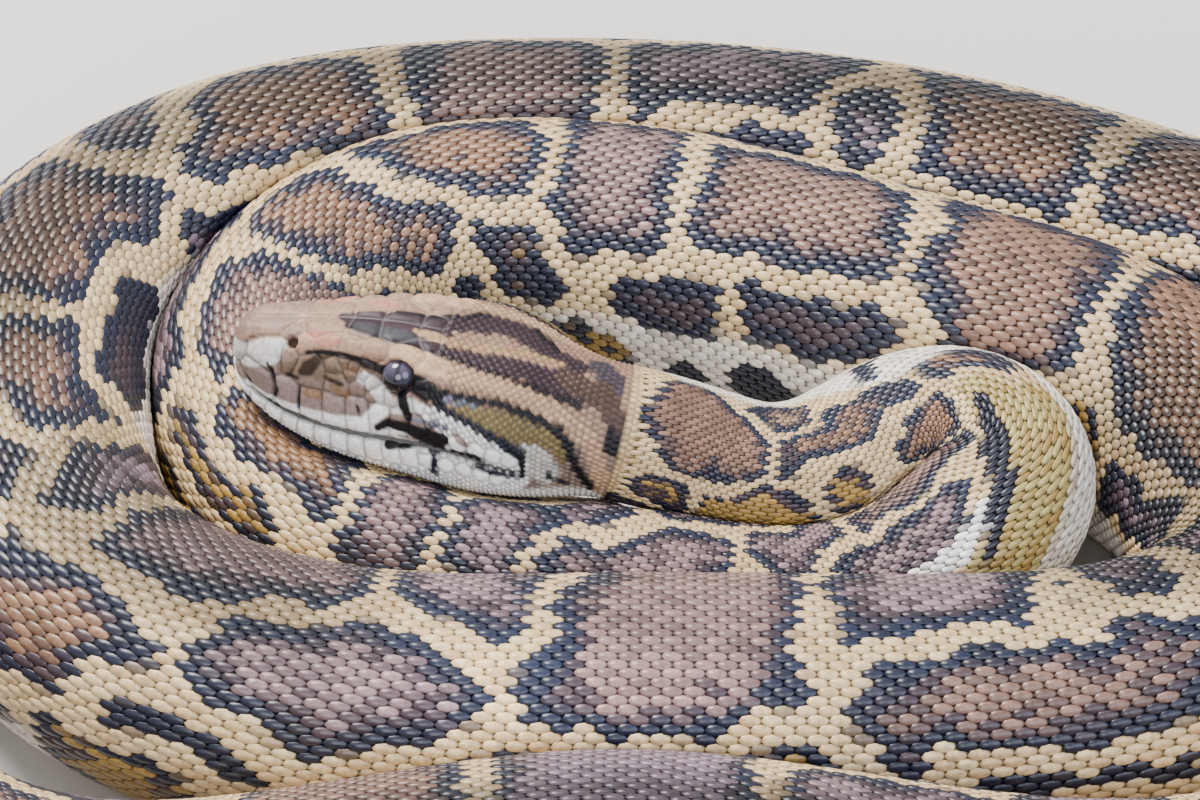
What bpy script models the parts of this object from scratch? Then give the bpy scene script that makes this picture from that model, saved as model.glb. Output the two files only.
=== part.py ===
"""A Burmese python resting in a flat coil, life size, with its head laid on its own first loop.

Metres, +Z up. The snake lies on the floor at Z = 0, and the origin is below the middle of its outline. Its head
points to -X. The body is one long swept form. Each cross-section is round where it is free, flat where it
rests on the floor, and pressed flat against whatever loop it leans on. The form is parted by thin cuts into
the head, lower jaw, neck, lengths of trunk and tail, with an eye on each side.
"""

import math

import bmesh
import bpy
import numpy as np

# Driving dimensions, in metres.
HEAD_LENGTH = 0.0945  # tip of the snout to the back of the jaws
EYE_RADIUS = 0.0045
SOCKET_GAP = 0.0003
CUT = 0.0004  # width of the cuts that part one length from the next, and the jaws
PRESSED_GAP = 0.0008  # left between two loops that lean on each other
PRESSED_EASE = 0.0012  # how softly a flank turns into its pressed flat
PRESSED_SHARPNESS = 14  # power of the blend between the free and the pressed outline
MOST_BULGE = 1.07  # the most that a pressed section widens elsewhere to keep its area
LOOP_APART = 1.3  # stations nearer along the body than this many times their thickness never lean on each other
STIFF_LENGTH = 0.040  # length behind the head over which the body grows soft enough to take up a press
LEAST_GIVE = 0.001  # share of a press that the rigid head takes up
FACING = 0.05  # a ray that turns less than this towards a neighbour or the floor is not held by it
NO_LIMIT = 1.0  # a reach longer than any ray
ROUTE_SAMPLES = 6000
HEAD_SHARES = (0, 0.3, 0.6, 0.85, 1)  # shares of the head's length at which the centreline is held straight
BULGE_SPREAD = 5  # stations each way over which the bulge of the pressed sections is smoothed

# The lay of the coil, seen from above as a clock face that is stretched along X. The body's centreline runs
# clockwise from the front (-Y). Each pair is an hour's (reach from the centre along Y, height). All are millimetres.
COIL_CENTRE = (-18.1, 25.9)
COIL_STRETCH = 1.45
HOURS = 12
FIRST_LOOP = (
    (47.5, 28.4), (42.0, 28.8), (47, 27), (54, 27), (68, 28), (80, 33),
    (71, 37), (64, 38), (71, 38), (101, 33), (126, 31), (107, 31),
)
SECOND_LOOP = (
    (93, 31), (99, 31), (101, 31), (99, 31), (109, 31), (113, 31),
    (108, 31), (113, 31), (126, 31), (153, 31), (181, 31), (186, 31),
)
LAST_LOOP = ((151, 36), (174, 27), (155, 22), (146, 17.5), (144, 13), (143, 8.5), (134, 3.5))

# The head lies straight, from the snout to the nape. The neck leaves it, sinks beside it, and turns back
# in one tight bend to become the first loop. (x, y, z) in millimetres.
SNOUT = (-107, 27, 63)
NAPE = (-16, 4, 58)
NECK_BEND = (
    (6, 4.2, 48.6), (21, 3.2, 43.4), (40, 9.3, 42.0), (58, 18, 44),
    (72, 16, 45), (80, 3, 43), (72, -11, 37), (51, -24, 28),
)

# Half-thickness of the body behind the head: (distance from the snout, radius), in millimetres.
GIRTH = (
    (85, 16.8), (112, 17.5), (145, 18.4), (185, 20.4), (215, 22.2), (275, 22.8), (320, 24.6), (370, 26.4),
    (420, 27.5), (520, 29.5), (640, 32.0), (800, 33.0), (1700, 33.0), (1960, 31.0), (2090, 28.0), (2190, 23.5),
    (2280, 18.5), (2350, 14.0), (2430, 9.6), (2500, 5.6), (2532, 3.3), (2546, 1.6),
)
BODY_WIDER = 1.03
BODY_LOWER = 0.97
BODY_ROUNDNESS = 2.05

# The head's cross-sections. Each row is one station: its share of the head's length, the height of the crown,
# (out, up) of the shoulder of the crown, of the cheek, of the lip and of the jaw's edge, and the height of the
# chin. All are millimetres from the line that runs through the mouth.
HEAD_SECTIONS = (
    (0.00, 12.2, (4.0, 11.2), (6.2, 4.5), (6.4, -3.0), (5.4, -5.8), -6.6),
    (0.06, 13.8, (5.2, 12.7), (8.2, 5.4), (8.6, -3.2), (7.4, -7.0), -8.0),
    (0.12, 15.2, (6.4, 14.0), (10.6, 6.2), (11.6, -3.7), (10.2, -8.8), -10.0),
    (0.18, 16.7, (7.0, 15.2), (12.3, 7.0), (13.9, -4.0), (12.4, -10.0), -11.4),
    (0.27, 18.8, (8.6, 17.4), (13.9, 8.4), (16.6, -3.1), (14.8, -11.0), -12.6),
    (0.37, 20.6, (10.0, 19.2), (15.2, 10.2), (18.6, -1.8), (16.8, -11.2), -13.0),
    (0.47, 21.6, (11.6, 20.0), (17.0, 12.0), (20.3, 0.4), (19.0, -10.2), -13.2),
    (0.57, 21.5, (14.4, 19.6), (20.4, 11.2), (22.1, 2.2), (21.2, -8.8), -13.2),
    (0.67, 20.8, (16.8, 18.2), (23.2, 10.4), (24.0, 3.4), (23.2, -7.4), -13.4),
    (0.76, 20.3, (16.2, 16.6), (23.2, 9.0), (24.4, 2.6), (23.2, -7.0), -13.8),
    (0.84, 19.2, (13.9, 14.6), (20.6, 7.2), (22.0, 0.8), (20.8, -8.0), -14.4),
    (0.91, 18.0, (12.2, 13.2), (17.6, 5.4), (18.5, -0.4), (17.3, -9.2), -15.2),
    (1.00, 16.8, (11.6, 12.2), (16.0, 4.2), (16.4, -1.0), (13.8, -9.6), -16.0),
)
# Where those points lie round the section, as shares of the turn from the crown to the chin and back.
SECTION_PLACES = (0.0, 0.10, 0.18, 0.25, 0.345, 0.5)
SNOUT_ROUNDING = 0.075  # share of the head's length over which the snout closes to its blunt tip
SNOUT_TIP_HEIGHT = 2.5
SNOUT_BLUNTNESS = 2.6
NECK_BLEND = (0.88, 1.12)  # shares of the head's length between which the head becomes the neck
EYE_PLACE = (0.475, 12.1, 14.6)  # share of the head's length, then millimetres out and up

# How far the back is turned from straight up, towards the side that the coil winds about:
# (distance from the snout in millimetres, degrees).
ROLL = ((0, 0), (95, 0), (160, 0), (240, 24), (330, 8), (480, 6), (700, 0), (2700, 0))

FINE_STEP = 0.0025  # spacing of the stations at which leaning is worked out
FINE_SIDES = 32
SIDES = 20
HEAD_SIDES = 32
HEAD_STATIONS = (
    0.006, 0.02, 0.04, 0.065, 0.10, 0.14, 0.19, 0.25, 0.31, 0.37, 0.425, 0.475, 0.53, 0.59, 0.65, 0.71, 0.77,
    0.82, 0.87, 0.92, 0.96, 1.0,
)
# Lengths of body, from the back of the head: (name, end in metres from the snout, spacing of its sections).
LENGTHS = (
    ("neck", 0.165, 0.0080), ("trunk_1", 0.330, 0.0062), ("trunk_2", 0.660, 0.0150), ("trunk_3", 0.980, 0.0170),
    ("trunk_4", 1.300, 0.0178), ("trunk_5", 1.620, 0.0178), ("trunk_6", 1.940, 0.0178), ("trunk_7", 2.240, 0.0167),
    ("tail", None, 0.0140),
)

COLOURS = {
    "scaled_back": (0.300, 0.220, 0.150),
    "jaw_scales": (0.640, 0.600, 0.520),
    "eye": (0.020, 0.018, 0.022),
}


def spline(knots, values, at):
    """A natural cubic spline through the values (one row each) at the knots, read off at the places asked for."""
    count = len(knots)
    spans = np.diff(knots)
    system = np.eye(count)
    slopes = np.diff(values, axis=0) / spans[:, None]
    wanted = np.zeros_like(values)
    for i in range(1, count - 1):
        system[i, i - 1 : i + 2] = spans[i - 1], 2 * (spans[i - 1] + spans[i]), spans[i]
        wanted[i] = 6 * (slopes[i] - slopes[i - 1])
    bend = np.linalg.solve(system, wanted)
    i = np.clip(np.searchsorted(knots, at, side="right") - 1, 0, count - 2)
    along = (at - knots[i])[:, None]
    span = spans[i][:, None]
    return (
        values[i]
        + along * (slopes[i] - span * (2 * bend[i] + bend[i + 1]) / 6)
        + along**2 * bend[i] / 2
        + along**3 * (bend[i + 1] - bend[i]) / (6 * span)
    )


def route_points():
    """The points that the centreline passes, from the tip of the snout to the tip of the tail."""
    snout, nape = np.array(SNOUT, float), np.array(NAPE, float)
    points = [snout + (nape - snout) * share for share in HEAD_SHARES]
    points += [np.array(p, float) for p in NECK_BEND]
    for hour, (reach, height) in enumerate(FIRST_LOOP + SECOND_LOOP + LAST_LOOP):
        angle = math.radians(-90 - 360 * hour / HOURS)
        across = COIL_CENTRE[0] + reach * COIL_STRETCH * math.cos(angle)
        away = COIL_CENTRE[1] + reach * math.sin(angle)
        points.append(np.array((across, away, height)))
    return np.array(points) / 1000


def centreline(step):
    """Evenly spaced points of the centreline, and their distances from the snout."""
    points = route_points()
    knots = np.concatenate([[0], np.cumsum(np.linalg.norm(np.diff(points, axis=0), axis=1))])
    dense = spline(knots, points, np.linspace(0, knots[-1], ROUTE_SAMPLES))
    run = np.concatenate([[0], np.cumsum(np.linalg.norm(np.diff(dense, axis=0), axis=1))])
    distance = np.arange(0, run[-1], step)
    return distance, np.stack([np.interp(distance, run, dense[:, k]) for k in range(3)], 1)


def frames(distance, centre):
    """The unit vectors up from the back and out to the coil's inner side."""
    tangent = np.gradient(centre, axis=0)
    tangent /= np.linalg.norm(tangent, axis=1)[:, None]
    side = np.cross(tangent, (0, 0, 1.0))
    side /= np.linalg.norm(side, axis=1)[:, None]
    up = np.cross(side, tangent)
    table = np.array(ROLL, float)
    roll = np.radians(np.interp(distance * 1000, table[:, 0], table[:, 1]))[:, None]
    return up * np.cos(roll) + side * np.sin(roll), side * np.cos(roll) - up * np.sin(roll)


def smooth_step(value, start, end):
    share = np.clip((value - start) / (end - start), 0, 1)
    return share * share * (3 - 2 * share)


def head_offsets(share, places):
    """The head's outline as (out to the left, up), for shares of its length and places round the section."""
    rows = np.array([[row[0], row[1], *row[2], *row[3], *row[4], *row[5], row[6]] for row in HEAD_SECTIONS], float)
    named = spline(rows[:, 0], rows[:, 1:], np.clip(share, 0, 1))
    out = np.stack([0 * share, *(named[:, k] for k in (1, 3, 5, 7)), 0 * share], 1)
    high = np.stack([named[:, 0], *(named[:, k] for k in (2, 4, 6, 8)), named[:, 9]], 1)
    # The whole round, with two points more at each end so that the curve closes smoothly.
    half = np.array(SECTION_PLACES)
    turn = np.concatenate([half, 1 - half[-2:0:-1]])
    out = np.concatenate([out, -out[:, -2:0:-1]], 1)
    high = np.concatenate([high, high[:, -2:0:-1]], 1)
    turn = np.concatenate([turn[-3:] - 1, turn, turn[:3] + 1])
    out, high = (np.concatenate([v[:, -3:], v, v[:, :3]], 1) for v in (out, high))
    ring = np.stack([spline(turn, out.T, places).T, spline(turn, high.T, places).T], 2)
    closing = np.clip(share / SNOUT_ROUNDING, 0, 1)[:, None, None]
    closing = (1 - (1 - closing) ** SNOUT_BLUNTNESS) ** (1 / SNOUT_BLUNTNESS)
    middle = np.array((0, SNOUT_TIP_HEIGHT))
    return (middle + (ring - middle) * closing) / 1000


def free_offsets(distance, places):
    """The free outline as (out to the left, up) from the centreline, for each station and place round it."""
    girth = np.array(GIRTH)
    radius = np.interp(distance * 1000, girth[:, 0], girth[:, 1])[:, None] / 1000
    turns = 2 * math.pi * places[None]
    along, across = np.cos(turns), np.sin(turns)
    spread = (np.abs(across) / BODY_WIDER) ** BODY_ROUNDNESS + (np.abs(along) / BODY_LOWER) ** BODY_ROUNDNESS
    reach = radius * spread ** (-1 / BODY_ROUNDNESS)
    body = np.stack([reach * across, reach * along], 2)
    share = distance / HEAD_LENGTH
    mix = smooth_step(share, *NECK_BLEND)[:, None, None]
    return head_offsets(share, places) * (1 - mix) + body * mix


def at_distances(body, distances):
    """The body's centre, up, side and bulge at distances between its stations."""

    def read(values):
        return np.stack([np.interp(distances, body["distance"], values[:, k]) for k in range(3)], 1)

    bulge = np.interp(distances, body["distance"], body["bulge"])
    return read(body["centre"]), read(body["up"]), read(body["side"]), bulge


def rays_and_reach(body, distances, places):
    """For each distance and each place round it: the centre, the unit vector out, and how far the free skin is."""
    centre, up, side, bulge = at_distances(body, distances)
    offsets = free_offsets(distances, places)
    reach = np.maximum(np.linalg.norm(offsets, axis=2), 1e-7)
    unit = offsets / reach[:, :, None]
    return centre, unit[:, :, :1] * side[:, None] + unit[:, :, 1:] * up[:, None], reach * bulge[:, None]


def stiffness(distance):
    """Share of a press that a station takes up: none on the rigid head, all of it on what the head rests on."""
    return np.clip((distance - HEAD_LENGTH) / STIFF_LENGTH, LEAST_GIVE, 1)


def leaning_limits(body, distances, centres, rays):
    """How far out each ray may go before it meets the plane that its section shares with another loop."""
    distance, centre, ring = body["distance"], body["centre"], body["ring"]
    girth = np.linalg.norm(ring, axis=2).max(axis=1)
    give = stiffness(distance)
    limits = np.full(rays.shape[:2], NO_LIMIT)
    for row, (here, middle) in enumerate(zip(distances, centres)):
        i = min(round(here / FINE_STEP), len(distance) - 1)
        away = centre - middle
        gap = np.linalg.norm(away, axis=1)
        near = (gap < girth[i] + girth) & (np.abs(distance - here) > LOOP_APART * (girth[i] + girth))
        for j in np.flatnonzero(near):
            normal = away[j] / gap[j]
            mine = (ring[i] @ normal).max()
            theirs = -(ring[j] @ normal).min()
            overlap = mine + theirs - gap[j]
            if overlap <= -PRESSED_EASE:
                continue
            plane = mine - overlap * give[i] / (give[i] + give[j])
            facing = rays[row] @ normal
            reach = np.where(facing > FACING, plane / np.maximum(facing, FACING), NO_LIMIT)
            limits[row] = np.minimum(limits[row], reach)
    return limits


def pressed(body, distances, centres, rays, free):
    """The outline with its pressed flats: the free one, eased into the limits of its neighbours and the floor."""
    limit = leaning_limits(body, distances, centres, rays)
    down = -rays[:, :, 2]
    floor = np.where(down > FACING, centres[:, None, 2] / np.maximum(down, FACING), NO_LIMIT)
    eased = np.minimum(limit, floor) + PRESSED_EASE
    blend = (free**-PRESSED_SHARPNESS + eased**-PRESSED_SHARPNESS) ** (-1 / PRESSED_SHARPNESS)
    return np.minimum(np.minimum(blend, limit - PRESSED_GAP / 2), floor)


def lay_body():
    """The settled body: its stations with their frames, and how much each section bulges for being pressed."""
    distance, centre = centreline(FINE_STEP)
    up, side = frames(distance, centre)
    body = {"distance": distance, "centre": centre, "up": up, "side": side, "bulge": np.ones(len(distance))}
    _, rays, free = rays_and_reach(body, distance, np.arange(FINE_SIDES) / FINE_SIDES)
    body["ring"] = rays * free[:, :, None]
    held = pressed(body, distance, centre, rays, free)
    bulge = np.clip(np.sqrt((free**2).sum(1) / (held**2).sum(1)), 1, MOST_BULGE)
    bulge[distance < HEAD_LENGTH * NECK_BLEND[1]] = 1
    window = np.ones(2 * BULGE_SPREAD + 1) / (2 * BULGE_SPREAD + 1)
    body["bulge"] = np.convolve(np.pad(bulge, BULGE_SPREAD, mode="edge"), window, mode="valid")
    body["ring"] = body["ring"] * body["bulge"][:, None, None]
    return body


def sections(body, distances, places):
    """The skin's points, one ring for each distance."""
    centre, rays, free = rays_and_reach(body, distances, places)
    return centre[:, None] + pressed(body, distances, centre, rays, free)[:, :, None] * rays


def colour_material(name, roughness):
    material = bpy.data.materials.new(name)
    material.use_nodes = True
    shader = material.node_tree.nodes["Principled BSDF"]
    shader.inputs["Base Color"].default_value = (*COLOURS[name], 1)
    shader.inputs["Roughness"].default_value = roughness
    return material


def loft(name, rings, material):
    """A closed object through rings of equally many points, capped at both ends."""
    count = rings.shape[1]
    mesh = bpy.data.meshes.new(name)
    faces = []
    for i in range(len(rings) - 1):
        for j in range(count):
            k = (j + 1) % count
            faces.append((i * count + j, i * count + k, (i + 1) * count + k, (i + 1) * count + j))
    last = (len(rings) - 1) * count
    faces.append(tuple(reversed(range(count))))
    faces.append(tuple(range(last, last + count)))
    mesh.from_pydata(rings.reshape(-1, 3).tolist(), [], faces)
    shape = bmesh.new()
    shape.from_mesh(mesh)
    bmesh.ops.recalc_face_normals(shape, faces=shape.faces)
    bmesh.ops.triangulate(shape, faces=[f for f in shape.faces if len(f.verts) > 4])
    shape.to_mesh(mesh)
    shape.free()
    mesh.shade_smooth()
    mesh.set_sharp_from_angle(angle=math.radians(50))
    piece = bpy.data.objects.new(name, mesh)
    piece.data.materials.append(material)
    bpy.context.scene.collection.objects.link(piece)
    return piece


def cut_back(rings, amount, end):
    """Slides the last or first ring towards its neighbour, so that a thin cut is left there."""
    a, b = (0, 1) if end == "start" else (-1, -2)
    span = np.linalg.norm(rings[b].mean(0) - rings[a].mean(0))
    rings[a] = rings[a] + (rings[b] - rings[a]) * (amount / span)
    return rings


def build_lengths(body, material):
    """The neck, the lengths of trunk and the tail, end to end."""
    places = np.arange(SIDES) / SIDES
    start = HEAD_LENGTH
    for name, end, spacing in LENGTHS:
        end = end or body["distance"][-1]
        stations = np.linspace(start, end, max(2, round((end - start) / spacing) + 1))
        rings = cut_back(sections(body, stations, places), CUT / 2, "start")
        if name != "tail":
            rings = cut_back(rings, CUT / 2, "end")
        loft(name, rings, material)
        start = end


def build_head(body, back_material, jaw_material):
    """The upper head and the lower jaw, parted along the mouth."""
    half = HEAD_SIDES // 2
    places = np.arange(-half // 2, half + half // 2 + 1) / HEAD_SIDES
    rings = sections(body, np.array(HEAD_STATIONS) * HEAD_LENGTH, places % 1)
    rings = cut_back(rings, CUT / 2, "end")
    upper, lower = rings[:, : half + 1].copy(), rings[:, half:].copy()
    # Only the edges of the mouth move, so that the gap is as wide at the lips as inside.
    upper[:, [0, -1]] += body["up"][0] * CUT / 2
    lower[:, [0, -1]] -= body["up"][0] * CUT / 2
    return loft("head", upper, back_material), loft("lower_jaw", lower, jaw_material)


def ball(name, centre, radius, left):
    """A sphere whose poles lie across the head, so that its round rim faces out."""
    bpy.ops.mesh.primitive_uv_sphere_add(segments=16, ring_count=10, radius=radius, location=centre)
    sphere = bpy.context.object
    sphere.name = sphere.data.name = name
    turn = np.array(left) / np.linalg.norm(left)
    sphere.rotation_euler = (math.pi / 2, 0, math.atan2(turn[0], -turn[1]))
    bpy.ops.object.transform_apply(location=True, rotation=True, scale=True)
    bpy.ops.object.shade_smooth()
    return sphere


def build_eyes(body, head, material):
    """Both eyes, each in a socket cut into the head."""
    share, out, high = EYE_PLACE
    (middle,), (up,), (left,), _ = at_distances(body, np.array([share * HEAD_LENGTH]))
    for name, sign in (("eye_left", 1), ("eye_right", -1)):
        centre = middle + left * sign * out / 1000 + up * high / 1000
        eye = ball(name, centre, EYE_RADIUS, left * sign)
        eye.data.materials.append(material)
        cutter = ball(name + "_socket", centre, EYE_RADIUS + SOCKET_GAP, left * sign)
        socket = head.modifiers.new(name, "BOOLEAN")
        socket.operation, socket.solver, socket.object = "DIFFERENCE", "EXACT", cutter
        bpy.context.view_layer.objects.active = head
        bpy.ops.object.modifier_apply(modifier=name)
        bpy.data.objects.remove(cutter)


def main():
    for old in list(bpy.data.objects):
        bpy.data.objects.remove(old)
    body = lay_body()
    back = colour_material("scaled_back", 0.45)
    jaw = colour_material("jaw_scales", 0.45)
    eye = colour_material("eye", 0.08)
    head, _ = build_head(body, back, jaw)
    build_eyes(body, head, eye)
    build_lengths(body, back)


if __name__ == "__main__":
    main()
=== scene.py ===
# A Burmese python resting in a flat coil: a skin, a coat of solid scales and plates over it, and glossy eyes.
import math

import bpy
import numpy as np
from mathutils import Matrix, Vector


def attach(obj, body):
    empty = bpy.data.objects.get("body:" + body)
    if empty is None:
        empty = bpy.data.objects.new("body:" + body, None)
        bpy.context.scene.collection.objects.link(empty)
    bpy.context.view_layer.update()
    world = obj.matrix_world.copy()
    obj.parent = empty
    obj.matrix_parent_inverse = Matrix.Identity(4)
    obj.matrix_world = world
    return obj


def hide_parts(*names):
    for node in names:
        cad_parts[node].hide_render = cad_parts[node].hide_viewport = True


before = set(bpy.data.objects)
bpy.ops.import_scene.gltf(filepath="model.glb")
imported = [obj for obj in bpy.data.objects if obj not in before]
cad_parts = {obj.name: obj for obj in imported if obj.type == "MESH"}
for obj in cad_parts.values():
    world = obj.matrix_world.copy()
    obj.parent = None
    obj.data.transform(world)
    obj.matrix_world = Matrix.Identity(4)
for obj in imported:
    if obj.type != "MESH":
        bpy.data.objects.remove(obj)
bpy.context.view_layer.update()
bpy.ops.object.select_all(action="DESELECT")

# A long lens looks down on the coil from the front.
cameraView = {
    "target": (-0.0181, 0.0459, 0.030), "distance": 1.3, "elevation": 42,
    "lens": 156, "sensor": 36, "nearest": 0.05,
}


def addCamera(values):
    elevation = math.radians(values["elevation"])
    back = Vector((0, -math.cos(elevation), math.sin(elevation)))
    place = Vector(values["target"]) + back * values["distance"]
    bpy.ops.object.camera_add(location=place, rotation=(math.pi / 2 - elevation, 0, 0))
    camera = bpy.context.object
    camera.name = "studioCamera"
    camera.data.lens, camera.data.sensor_width = values["lens"], values["sensor"]
    camera.data.clip_start = values["nearest"]
    bpy.context.scene.camera = camera


addCamera(cameraView)
print("camera set")

# The same named sizes that the solids are made from, in millimetres unless a line says otherwise.
bodyForm = {
    "headLength": 94.5,
    # how softly the loops press flat on each other and on the floor, and how much they widen for it
    "pressedEase": 0.25, "pressedSharpness": 50, "mostBulge": 1.07, "loopApart": 1.3,
    "giveLength": 40, "leastGive": 0.001,  # the head stays firm, and the body behind it gives more and more
    "leastFacing": 0.05, "far": 1000.0,  # a ray that faces a plane less than this runs on past it
    "coilCentre": (-18.1, 25.9), "coilStretch": 1.45, "hours": 12,
    # (reach from the coil's centre, height) at each hour of the three loops
    "loops": (
        (47.5, 28.4), (42.0, 28.8), (47, 27), (54, 27), (68, 28), (80, 33),
        (71, 37), (64, 38), (71, 38), (101, 33), (126, 31), (107, 31),
        (93, 31), (99, 31), (101, 31), (99, 31), (109, 31), (113, 31),
        (108, 31), (113, 31), (126, 31), (153, 31), (181, 31), (186, 31),
        (151, 36), (174, 27), (155, 22), (146, 17.5), (144, 13), (143, 8.5), (134, 3.5),
    ),
    "snout": (-107, 27, 63), "nape": (-16, 4, 58), "headShares": (0, 0.3, 0.6, 0.85, 1),
    "neckBend": (
        (6, 4.2, 48.6), (21, 3.2, 43.4), (40, 9.3, 42.0), (58, 18, 44),
        (72, 16, 45), (80, 3, 43), (72, -11, 37), (51, -24, 28),
    ),
    # (distance from the snout, radius)
    "girth": (
        (85, 16.8), (112, 17.5), (145, 18.4), (185, 20.4), (215, 22.2), (275, 22.8), (320, 24.6),
        (370, 26.4), (420, 27.5), (520, 29.5), (640, 32.0), (800, 33.0), (1700, 33.0), (1960, 31.0),
        (2090, 28.0), (2190, 23.5), (2280, 18.5), (2350, 14.0), (2430, 9.6), (2500, 5.6), (2532, 3.3),
        (2546, 1.6),
    ),
    "fullGirth": 33,
    "wider": 1.03, "lower": 0.97, "roundness": 2.05,
    # share of the head's length, crown, (out, up) of shoulder, cheek, lip and jaw, chin
    "headSections": (
        (0.00, 12.2, 4.0, 11.2, 6.2, 4.5, 6.4, -3.0, 5.4, -5.8, -6.6),
        (0.06, 13.8, 5.2, 12.7, 8.2, 5.4, 8.6, -3.2, 7.4, -7.0, -8.0),
        (0.12, 15.2, 6.4, 14.0, 10.6, 6.2, 11.6, -3.7, 10.2, -8.8, -10.0),
        (0.18, 16.7, 7.0, 15.2, 12.3, 7.0, 13.9, -4.0, 12.4, -10.0, -11.4),
        (0.27, 18.8, 8.6, 17.4, 13.9, 8.4, 16.6, -3.1, 14.8, -11.0, -12.6),
        (0.37, 20.6, 10.0, 19.2, 15.2, 10.2, 18.6, -1.8, 16.8, -11.2, -13.0),
        (0.47, 21.6, 11.6, 20.0, 17.0, 12.0, 20.3, 0.4, 19.0, -10.2, -13.2),
        (0.57, 21.5, 14.4, 19.6, 20.4, 11.2, 22.1, 2.2, 21.2, -8.8, -13.2),
        (0.67, 20.8, 16.8, 18.2, 23.2, 10.4, 24.0, 3.4, 23.2, -7.4, -13.4),
        (0.76, 20.3, 16.2, 16.6, 23.2, 9.0, 24.4, 2.6, 23.2, -7.0, -13.8),
        (0.84, 19.2, 13.9, 14.6, 20.6, 7.2, 22.0, 0.8, 20.8, -8.0, -14.4),
        (0.91, 18.0, 12.2, 13.2, 17.6, 5.4, 18.5, -0.4, 17.3, -9.2, -15.2),
        (1.00, 16.8, 11.6, 12.2, 16.0, 4.2, 16.4, -1.0, 13.8, -9.6, -16.0),
    ),
    "sectionPlaces": (0.0, 0.10, 0.18, 0.25, 0.345, 0.5),
    "snoutRounding": 0.075, "snoutTipHeight": 2.5, "snoutBluntness": 2.6,
    "neckBlend": (0.88, 1.12),
    # (distance from the snout, degrees that the back is turned to the coil's inner side)
    "roll": ((0, 0), (95, 0), (160, 0), (240, 24), (330, 8), (480, 6), (700, 0), (2700, 0)),
    "densePoints": 6000, "fineStep": 2.5, "fineSides": 32, "bulgeSpan": 11,
}


def spline(knots, values, at):
    # a natural cubic spline through the values at the knots, read off at the places asked for
    count = len(knots)
    spans = np.diff(knots)
    system = np.eye(count)
    slopes = np.diff(values, axis=0) / spans[:, None]
    wanted = np.zeros_like(values)
    for i in range(1, count - 1):
        system[i, i - 1 : i + 2] = spans[i - 1], 2 * (spans[i - 1] + spans[i]), spans[i]
        wanted[i] = 6 * (slopes[i] - slopes[i - 1])
    bend = np.linalg.solve(system, wanted)
    i = np.clip(np.searchsorted(knots, at, side="right") - 1, 0, count - 2)
    along = (at - knots[i])[:, None]
    span = spans[i][:, None]
    return (
        values[i]
        + along * (slopes[i] - span * (2 * bend[i] + bend[i + 1]) / 6)
        + along**2 * bend[i] / 2
        + along**3 * (bend[i + 1] - bend[i]) / (6 * span)
    )


def smoothStep(value, start, end):
    share = np.clip((value - start) / (end - start), 0, 1)
    return share * share * (3 - 2 * share)


def routePoints(form):
    snout, nape = np.array(form["snout"], float), np.array(form["nape"], float)
    points = [snout + (nape - snout) * share for share in form["headShares"]]
    points += [np.array(p, float) for p in form["neckBend"]]
    for hour, (reach, height) in enumerate(form["loops"]):
        angle = math.radians(-90 - 360 * hour / form["hours"])
        across = form["coilCentre"][0] + reach * form["coilStretch"] * math.cos(angle)
        away = form["coilCentre"][1] + reach * math.sin(angle)
        points.append(np.array((across, away, height)))
    return np.array(points)


def centreline(form):
    points = routePoints(form)
    knots = np.concatenate([[0], np.cumsum(np.linalg.norm(np.diff(points, axis=0), axis=1))])
    dense = spline(knots, points, np.linspace(0, knots[-1], form["densePoints"]))
    run = np.concatenate([[0], np.cumsum(np.linalg.norm(np.diff(dense, axis=0), axis=1))])
    distance = np.arange(0, run[-1], form["fineStep"])
    return distance, np.stack([np.interp(distance, run, dense[:, k]) for k in range(3)], 1)


def bodyFrames(form, distance, centre):
    tangent = np.gradient(centre, axis=0)
    tangent /= np.linalg.norm(tangent, axis=1)[:, None]
    side = np.cross(tangent, (0, 0, 1.0))
    side /= np.linalg.norm(side, axis=1)[:, None]
    up = np.cross(side, tangent)
    table = np.array(form["roll"], float)
    roll = np.radians(np.interp(distance, table[:, 0], table[:, 1]))[:, None]
    return up * np.cos(roll) + side * np.sin(roll), side * np.cos(roll) - up * np.sin(roll)


def headOffsets(form, share, places):
    rows = np.array(form["headSections"], float)
    named = spline(rows[:, 0], rows[:, 1:], np.clip(share, 0, 1))
    out = np.stack([0 * share, *(named[:, k] for k in (1, 3, 5, 7)), 0 * share], 1)
    high = np.stack([named[:, 0], *(named[:, k] for k in (2, 4, 6, 8)), named[:, 9]], 1)
    half = np.array(form["sectionPlaces"])
    turn = np.concatenate([half, 1 - half[-2:0:-1]])
    out = np.concatenate([out, -out[:, -2:0:-1]], 1)
    high = np.concatenate([high, high[:, -2:0:-1]], 1)
    turn = np.concatenate([turn[-3:] - 1, turn, turn[:3] + 1])
    out, high = (np.concatenate([v[:, -3:], v, v[:, :3]], 1) for v in (out, high))
    ring = np.stack([spline(turn, out.T, places).T, spline(turn, high.T, places).T], 2)
    bluntness = form["snoutBluntness"]
    closing = np.clip(share / form["snoutRounding"], 0, 1)[:, None, None]
    closing = (1 - (1 - closing) ** bluntness) ** (1 / bluntness)
    middle = np.array((0, form["snoutTipHeight"]))
    return middle + (ring - middle) * closing


def girthAt(form, distance):
    table = np.array(form["girth"])
    return np.interp(distance, table[:, 0], table[:, 1])


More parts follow.
